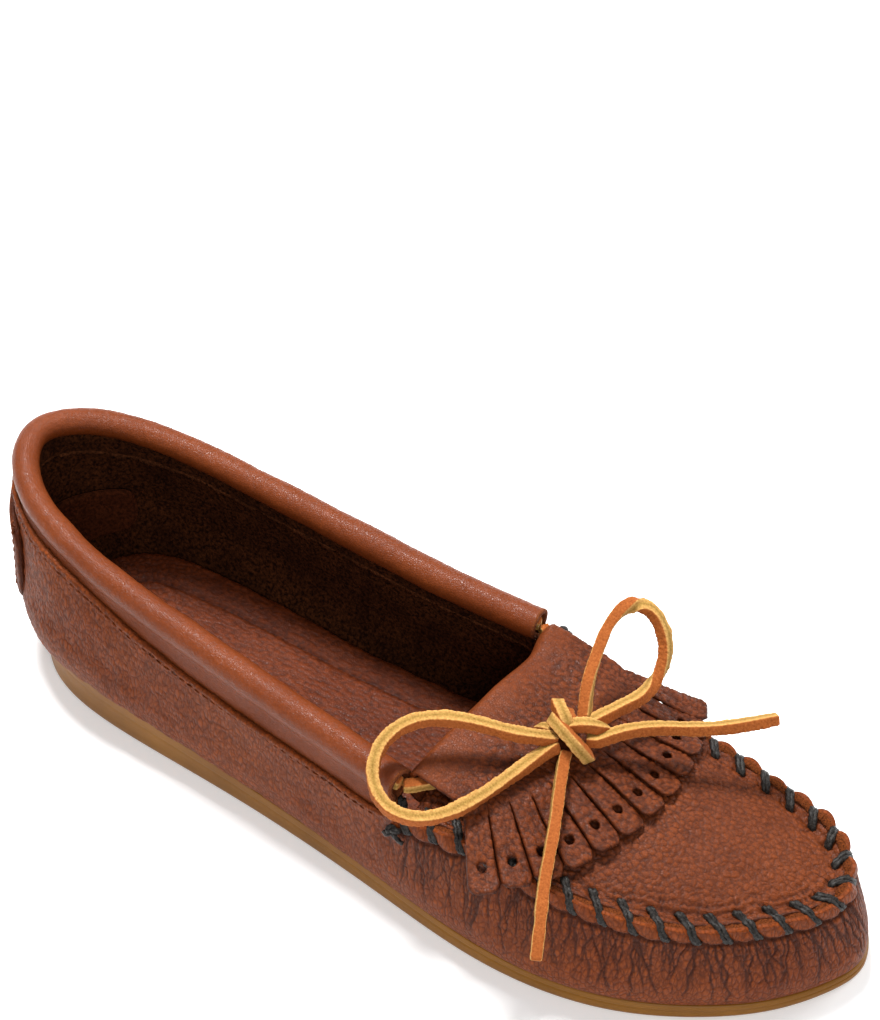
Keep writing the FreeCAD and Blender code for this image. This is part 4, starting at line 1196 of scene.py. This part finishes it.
def make_collar():
    """The strip rolled round the lace, with the flange of its raw edge inside. Its
    foot follows the body's top edge, which lies out and down from the roll."""
    line = roll_centre(720)
    along = unit(np.gradient(line, axis=0))
    out = unit(np.column_stack([-along[:, 1], along[:, 0], np.zeros(len(line))]))
    edge = wall(np.linspace(0, COUNT, 3000), [1.0])[0]
    outs, downs = np.empty(len(line)), np.empty(len(line))
    for i, (centre, way) in enumerate(zip(line, out)):
        gap = edge[:, :2] - centre[:2]
        ahead = gap @ way[:2]
        beside = np.abs(gap @ np.array((-way[1], way[0])))
        best = np.argmin(beside + np.where(ahead > 0, 0.0, 1.0))
        outs[i], downs[i] = ahead[best], edge[best, 2] - centre[2]
    kernel = np.ones(15) / 15
    outs = np.convolve(np.pad(outs, 7, "edge"), kernel, "valid")
    downs = np.convolve(np.pad(downs, 7, "edge"), kernel, "valid")
    radius = roll_radius(line[:, 0])
    sections = np.array([collar_section(*sizes) for sizes in zip(outs, downs, radius)])
    ahead = unit(np.gradient(sections, axis=1))
    hidden = sections + np.dstack([ahead[..., 1], -ahead[..., 0]]) * STRIP_T
    loop = np.concatenate([sections, hidden[:, ::-1]], axis=1)
    grid = line[:, None] + loop[..., :1] * out[:, None]
    grid[..., 2] += loop[..., 1]
    count = sections.shape[1]
    whole = 2 * count
    outer = grid[:, :count]
    normals = grid_normals(outer)
    relief = ripple(outer, 12 * MM, 51) * 0.07 * MM + ripple(outer, 2.2 * MM, 52) * 0.03 * MM
    grid[:, :count] = outer - normals * relief[..., None]
    tatter = np.random.default_rng(3).uniform(-0.5, 0.5, len(line)) + ripple(line, 5 * MM, 5) * 0.7
    grid[:, 0, 2] += tatter * MM
    grid[:, -1, 2] += tatter * MM
    faces = [grid_faces(len(line), whole, close_columns=True)]
    i = np.arange(count - 1)
    for base in (0, (len(line) - 1) * whole):
        faces.append(base + np.stack([i, i + 1, whole - 2 - i, whole - 1 - i], -1))
    raw = np.zeros(grid.shape[:2])
    raw[:, 0] = 0.25
    raw[:, count:] = 0.6
    raw[:2] = 1.0
    raw[-2:] = 1.0
    faces = np.concatenate(faces)
    slots = np.zeros(len(faces), int)
    firsts = np.arange(len(line) - 1)[:, None] * whole
    # the flange under the roll takes the dark suede lining: painted shade on the collar leather there
    slots[firsts + np.append(np.arange(14), whole - 1)] = 1
    slots[firsts + np.array((0, 1, whole - 1))] = 2
    piece("rolled_collar", (grid, faces, {"raw": raw}), [COLLAR, LINING, TATTER],
          ["collar_roll", "collar_facing"], face_slots=slots, weld=False)


# --------------------------------------------------------------------------- inside
LINER_INSET = 5.0 * MM
GROOVE_DEPTH = 0.55 * MM


def make_insole():
    """Padded sock liner: a leather cover over foam, with a pressed border line."""
    rows, columns = 480, 171
    s = np.linspace(0.02, COUNT / 2 - 0.02, rows)
    near = sole_ring(LINER_INSET, s)
    far = sole_ring(LINER_INSET, COUNT - s)
    share = np.linspace(0, 1, columns)
    grid = lerp(near[:, None], far[:, None], share[None, :, None])
    places = np.linspace(0, COUNT, 900, endpoint=False)
    distance, _ = nearest_seam(grid, sole_ring(LINER_INSET, places), places)
    base = plane_z(grid[..., 0], LINER_TOP)
    turned = 1.3 + 1.6 * smooth((-0.04 - grid[..., 0]) / 0.05)
    crown = 0.9 * MM * smooth(distance / (14 * MM)) + turned * MM * np.exp(-(distance / (6 * MM)) ** 2)
    groove = np.exp(-((distance - 8.5 * MM) / (0.7 * MM)) ** 2)
    rounding = 0.6 * MM * np.clip(1 - distance / (0.9 * MM), 0, 1) ** 2
    grain = pebbles(grid, LINER_PEBBLE)
    relief = crown - GROOVE_DEPTH * groove - rounding
    relief += 0.28 * MM * grain + ripple(grid, 20 * MM, 61) * 0.2 * MM
    # painted shade: darker in the pebble valleys and in the pressed groove
    dark = np.clip(0.75 * (1 - grain) ** 1.4 + 0.4 * groove, 0, 1)
    points, faces = thick_sheet(raised(grid, base - 0.9 * MM + relief), raised(grid, base - 1.9 * MM))
    marks = {"grain": np.append(dark, np.zeros(dark.size))}
    made = piece("padded_insole", (points, faces, marks), [LINER], ["sock_liner"])


def wall_patch(name, nodes, material, stations, heights, depth, thickness, proud=1.0, tuck=0.0):
    """Patch on the wall with rounded corners and edges, from depth to depth plus
    thickness. proud is -1 where its relief faces the foot."""
    rows, columns = 48, 90
    a = np.linspace(-1, 1, columns)[None, :]
    b = np.linspace(-1, 1, rows)[:, None]
    t_cells, s_cells = 23, 159
    i = (b * np.sqrt(1 - 0.22 * a ** 4) + 1) / 2 * t_cells
    j = (a * np.sqrt(1 - 0.16 * b ** 4) + 1) / 2 * s_cells
    i0 = np.clip(i.astype(int), 0, t_cells - 1)
    j0 = np.clip(j.astype(int), 0, s_cells - 1)
    fi, fj = (i - i0)[..., None], (j - j0)[..., None]
    sheets = []
    for level in (depth, depth + thickness):
        sheet = wall(np.linspace(*stations, s_cells + 1), np.linspace(*heights, t_cells + 1), level)
        low = lerp(sheet[i0, j0], sheet[i0, j0 + 1], fj)
        high = lerp(sheet[i0 + 1, j0], sheet[i0 + 1, j0 + 1], fj)
        sheets.append(lerp(low, high, fi))
    outer, inner = sheets
    edge = np.minimum(1 - np.abs(a) + 0 * b, 1 - np.abs(b) + 0 * a)
    rounding = np.clip(1 - edge / 0.06, 0, 1) ** 2
    grain = pebbles(outer, PATCH_PEBBLE)
    relief = -(0.35 * abs(thickness) + tuck) * rounding + (ripple(outer, 7 * MM, 71) + grain) * 0.08 * MM
    points, faces = thick_sheet(outer + proud * grid_normals(outer) * relief[..., None], inner)
    # painted shade: pebble valleys and the rounded border darker, and the under sheet all dark so that the
    # rim looks shaded
    dark = np.clip(0.5 * (1 - grain) + 0.8 * rounding, 0, 1)
    marks = {"grain": np.append(dark, np.ones(dark.size))}
    piece(name, (points, faces, marks), [material], nodes)


def make_patches():
    """The suede patch inside the heel with its board, and the tab outside."""
    wall_patch("counter_patch", ["counter_cover"], COUNTER, (COUNT - 1.8, COUNT + 1.8),
               (0.10, 0.47), 4.0 * MM, -1.2 * MM, proud=-1.0, tuck=1.2 * MM)
    wall_patch("counter_stiffener", ["heel_counter"], BOARD, (COUNT - 1.6, COUNT + 1.6),
               (0.13, 0.43), 2.8 * MM, -0.8 * MM, proud=-1.0)
    wall_patch("heel_patch", ["heel_tab"], WALL, (COUNT - 1.68, COUNT + 1.68),
               (0.20, 0.86), -2.0 * MM, 1.9 * MM)


# --------------------------------------------------------------------------- sole
BAR_COUNT, BAR_START, BAR_PITCH = 18, -105.5 * MM, 12.5 * MM


def make_sole():
    """The rubber unit: its rim and bed as a stack of rings, and its tread bars."""
    s = station_columns()[::2]
    stand = ring_at(SOLE_EDGE[:, None] * MM, s)
    outline = sole_ring(0.0, s)
    outward = (outline - sole_ring(10 * MM, s)) / (10 * MM)

    def ring(inset, height):
        plan = outline + outward * (stand - inset * MM)
        plan[:, 2] = height(plan[:, 0])
        return plan

    foot = ((3.4, 0.8), (3.2, 0.1), (2.9, 0.0), (1.9, 0.0), (1.3, 0.1), (0.8, 0.4), (0.45, 0.9), (0.25, 1.5))
    rings = [ring(inset, lambda x: x * 0 + z * MM) for inset, z in foot]
    for share in np.linspace(0.12, 1.0, 16):
        hollow = 0.25 + 0.75 * share ** 2 + 0.35 * math.exp(-((share - 0.62) / 0.05) ** 2)
        rings.append(ring(hollow, lambda x: lerp(1.5 * MM, feather_z(x) - 0.3 * MM, share)))
    for inset, rise in ((1.15, -0.08), (1.5, 0.02), (1.9, 0.0), (2.3, -0.1)):
        rings.append(ring(inset, lambda x: feather_z(x) + rise * MM))
    rings.append(ring(4.0, lambda x: plane_z(x, BED)))
    parts = [capped_rings(rings)]
    ground = sole_ring(4.2 * MM, np.linspace(0, COUNT, 2000, endpoint=False))
    half = len(ground) // 2
    share = np.concatenate([[0, 0.006], np.linspace(0.05, 0.95, 9), [0.994, 1]])
    for k in range(BAR_COUNT):
        low = max(BAR_START + BAR_PITCH * k, -112 * MM)
        high = low + 10.5 * MM
        in_arch = -34 * MM < high < -4 * MM and low < -16 * MM
        if in_arch or high > ground[:, 0].max() - 2 * MM:
            continue
        xs = np.array([low, low + 0.3 * MM, high - 0.3 * MM, high])
        near = np.interp(xs, ground[:half, 0], ground[:half, 1])
        far = np.interp(xs, ground[half:][::-1, 0], ground[half:][::-1, 1])
        top = np.dstack([np.tile(xs[:, None], len(share)), lerp(near[:, None], far[:, None], share[None]),
                         np.full((4, len(share)), 1.0 * MM)])
        low_side = top.copy()
        low_side[..., 2] = 0.0
        low_side[[0, -1], :, 2] = 0.2 * MM
        low_side[:, [0, -1], 2] = 0.2 * MM
        parts.append(thick_sheet(top, low_side))
    piece("gum_sole", joined(parts), [RUBBER], ["outsole"])


# --------------------------------------------------------------------------- thread
STRAND_R, STRAND_GAP = 0.70 * MM, 1.12 * MM
TAB_DEPTH = -1.85 * MM                     # of the heel tab's outer face on the wall


def seam_place(phase):
    """Top edge of the seam at a stitch: point, direction along it, outward direction."""
    s = phase_station(np.array([phase - 0.01, phase, phase + 0.01]))
    before, point, after = wall(s, [1.0])[0]
    along = unit(after - before)
    return point, along, unit(np.array((along[1], -along[0], 0.0)))


def make_whipstitch():
    """Two strands for each stitch, from its hole in the plug over the seam's lobes
    to its hole in the wall."""
    parts = []
    for k in range(STITCH_COUNT):
        point, along, out = seam_place(float(k))
        slant = along * LEAN / 2
        inside = point - out * 4.3 * MM - slant
        skin = float(plug_z(inside[0], inside[1]))
        hole_in = np.array((inside[0], inside[1], skin - 1.3 * MM))
        rise_in = np.array((inside[0], inside[1], skin + 0.35 * MM)) + out * 0.3 * MM + slant * 0.06
        over_in = point - out * 2.6 * MM - slant * 0.48 + (0, 0, 1.5 * MM)
        over = point - out * 0.9 * MM + slant * 0.05 + (0, 0, 1.3 * MM)
        over_out = point + out * 0.5 * MM + slant * 0.5 - (0, 0, 0.5 * MM)
        down = point + out * 0.9 * MM + slant * 0.9 - (0, 0, 1.9 * MM)
        hole_out = point - out * 0.4 * MM + slant * 1.05 - (0, 0, 3.0 * MM)
        stops = np.array([hole_in, rise_in, over_in, over, over_out, down, hole_out])
        turn = rng.uniform(0, 6)
        middle = even_curve(stops, 60)
        run = np.linspace(0, 1, 60)
        for strand in (-1, 1):
            sway = STRAND_GAP / 2 * strand * (0.7 + 0.3 * np.sin(np.pi * run))
            path = middle + along * (sway + 0.06 * MM * rng.uniform(-1, 1))[:, None]
            path[:, 2] += 0.16 * MM * strand * np.sin(4 * np.pi * run + turn)
            parts.append(rope(path, STRAND_R, twist=rng.uniform(0, 6)))
    piece("whipstitch_seam_thread", joined(parts), [WAXED], ["whipstitch_thread"], weld=False)


def make_seam_knot(name, phase, node, place):
    """Overhand knot where the whipstitch starts or ends, with its two cut ends."""
    point, along, out = seam_place(phase)
    centre = point + out * place[0] + np.array((0, 0, place[1])) + along * place[2]
    axes = (along, np.array((0.0, 0.0, 1.0)), out)
    t = np.linspace(0, 2 * np.pi, 90)
    knot = [np.sin(t) + 2 * np.sin(2 * t), np.cos(t) - 2 * np.cos(2 * t), -np.sin(3 * t)]
    path = centre + sum(0.5 * MM * k[:, None] * axis for k, axis in zip(knot, axes))
    parts = [rope(path[:-1], 0.72 * MM)]
    for side in (-1, 1):
        tip = centre + along * side * 2.6 * MM - (0, 0, (2.2 + side) * MM) + out * 0.3 * MM
        stops = [centre, centre + along * side * 1.2 * MM + out * 0.9 * MM - (0, 0, 0.8 * MM), tip]
        parts.append(rope(even_curve(stops, 20), 0.6 * MM))
    piece(name, joined(parts), [WAXED], [node], weld=False)


def sewn_row(points, outward, pitch=2.8 * MM, radius=0.32 * MM):
    """Machine stitches along a line: each a short thread that dips at both ends."""
    run = run_along(points)
    parts = []
    for start in np.arange(pitch * 0.2, run[-1] - pitch * 0.7, pitch):
        at = np.linspace(start, start + pitch * 0.72, 9)
        bow = 0.22 * MM - 0.7 * MM * np.abs(np.linspace(-1, 1, 9)) ** 4
        path = read_line(points, run, at) + read_line(outward, run, at) * bow[:, None]
        parts.append(rope(path, radius, sides=7))
    return parts


def make_sewing():
    """The row under the collar, and the row round three sides of the heel tab."""
    s = np.linspace(FAR_THROAT - COUNT + 0.2, NEAR_THROAT - 0.2, 700)
    row = wall(s, [0.945])[0]
    out = unit(np.column_stack([np.gradient(row[:, 1]), -np.gradient(row[:, 0]), np.zeros(len(s))]))
    parts = sewn_row(row, out, 2.6 * MM, 0.24 * MM)
    piece("collar_stitches", joined(parts), [SEWING], ["collar_stitching"], weld=False)

    upright = np.linspace(0.34, 0.93, 60)
    sides = ((np.array([-1.5]), upright), (np.array([1.5]), upright), (np.linspace(-1.45, 1.45, 90), [0.28]))
    parts = []
    for s, t in sides:
        line = wall(s, t, TAB_DEPTH).reshape(-1, 3)
        beside = wall(s, t, TAB_DEPTH - 1 * MM).reshape(-1, 3)
        parts += sewn_row(line, unit(beside - line))
    piece("heel_tab_stitches", joined(parts), [SEWING], ["heel_tab_stitching"], weld=False)


# --------------------------------------------------------------------------- studio
def make_studio():
    """White floor, white world and three round lamps."""
    floor = bpy.data.meshes.new("floor")
    corners = [(-3, -3, 0), (3, -3, 0), (3, 3, 0), (-3, 3, 0)]
    floor.from_pydata(corners, [], [(0, 1, 2, 3)])
    ground = bpy.data.objects.new("floor", floor)
    white = (1.0, 1.0, 1.0, 1)
    material, tree, shader, _ = start_material("floor_paper")
    connect(tree, shader, {"Base Color": (0.93, 0.93, 0.93, 1), "Roughness": 0.9, "Emission Color": white,
                           "Emission Strength": 0.2})
    floor.materials.append(material)
    bpy.context.scene.collection.objects.link(ground)

    world = bpy.data.worlds.new("studio")
    world.use_nodes = True
    connect(world.node_tree, world.node_tree.nodes["Background"], {"Color": white, "Strength": 0.42})
    bpy.context.scene.world = world
    for name, place, size, power in (("key_light", (-0.36, 0.2, 1.18), 0.34, 25.0),
                                     ("fill_light", (0.75, -0.75, 0.95), 0.7, 7.0),
                                     ("rim_light", (0.45, 0.95, 0.75), 0.5, 5.0)):
        light = bpy.data.lights.new(name, "AREA")
        light.shape = "DISK"
        light.size = size
        light.energy = power
        made = bpy.data.objects.new(name, light)
        made.location = place
        made.rotation_euler = (Vector((0, 0, 0.03)) - Vector(place)).to_track_quat("-Z", "Y").to_euler()
        bpy.context.scene.collection.objects.link(made)
    bpy.context.scene.view_settings.view_transform = "Standard"


def finish_hidden_nodes():
    """Materials for the CAD pieces that stay: the hidden layers and seams."""
    for node, material in (("insole_board", BOARD), ("cushion_pad", FOAM),
                           ("heel_seam_stitching", SEWING), ("kiltie_stitching", SEWING)):
        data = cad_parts[node].data
        data.materials.clear()
        data.materials.append(material)


make_camera()
make_free_lace()
make_knot()
make_held_lace()
make_upper()
make_plug()
make_kiltie()
make_collar()
make_insole()
make_patches()
make_sole()
make_whipstitch()
make_seam_knot("seam_knot_near", 0.0, "whipstitch_knot_near", (2.0 * MM, -2.0 * MM, -1.2 * MM))
make_seam_knot("seam_knot_far", STITCH_COUNT - 1.5, "whipstitch_knot_far", (0.8 * MM, 3.2 * MM, -1.0 * MM))
make_sewing()
finish_hidden_nodes()
make_studio()
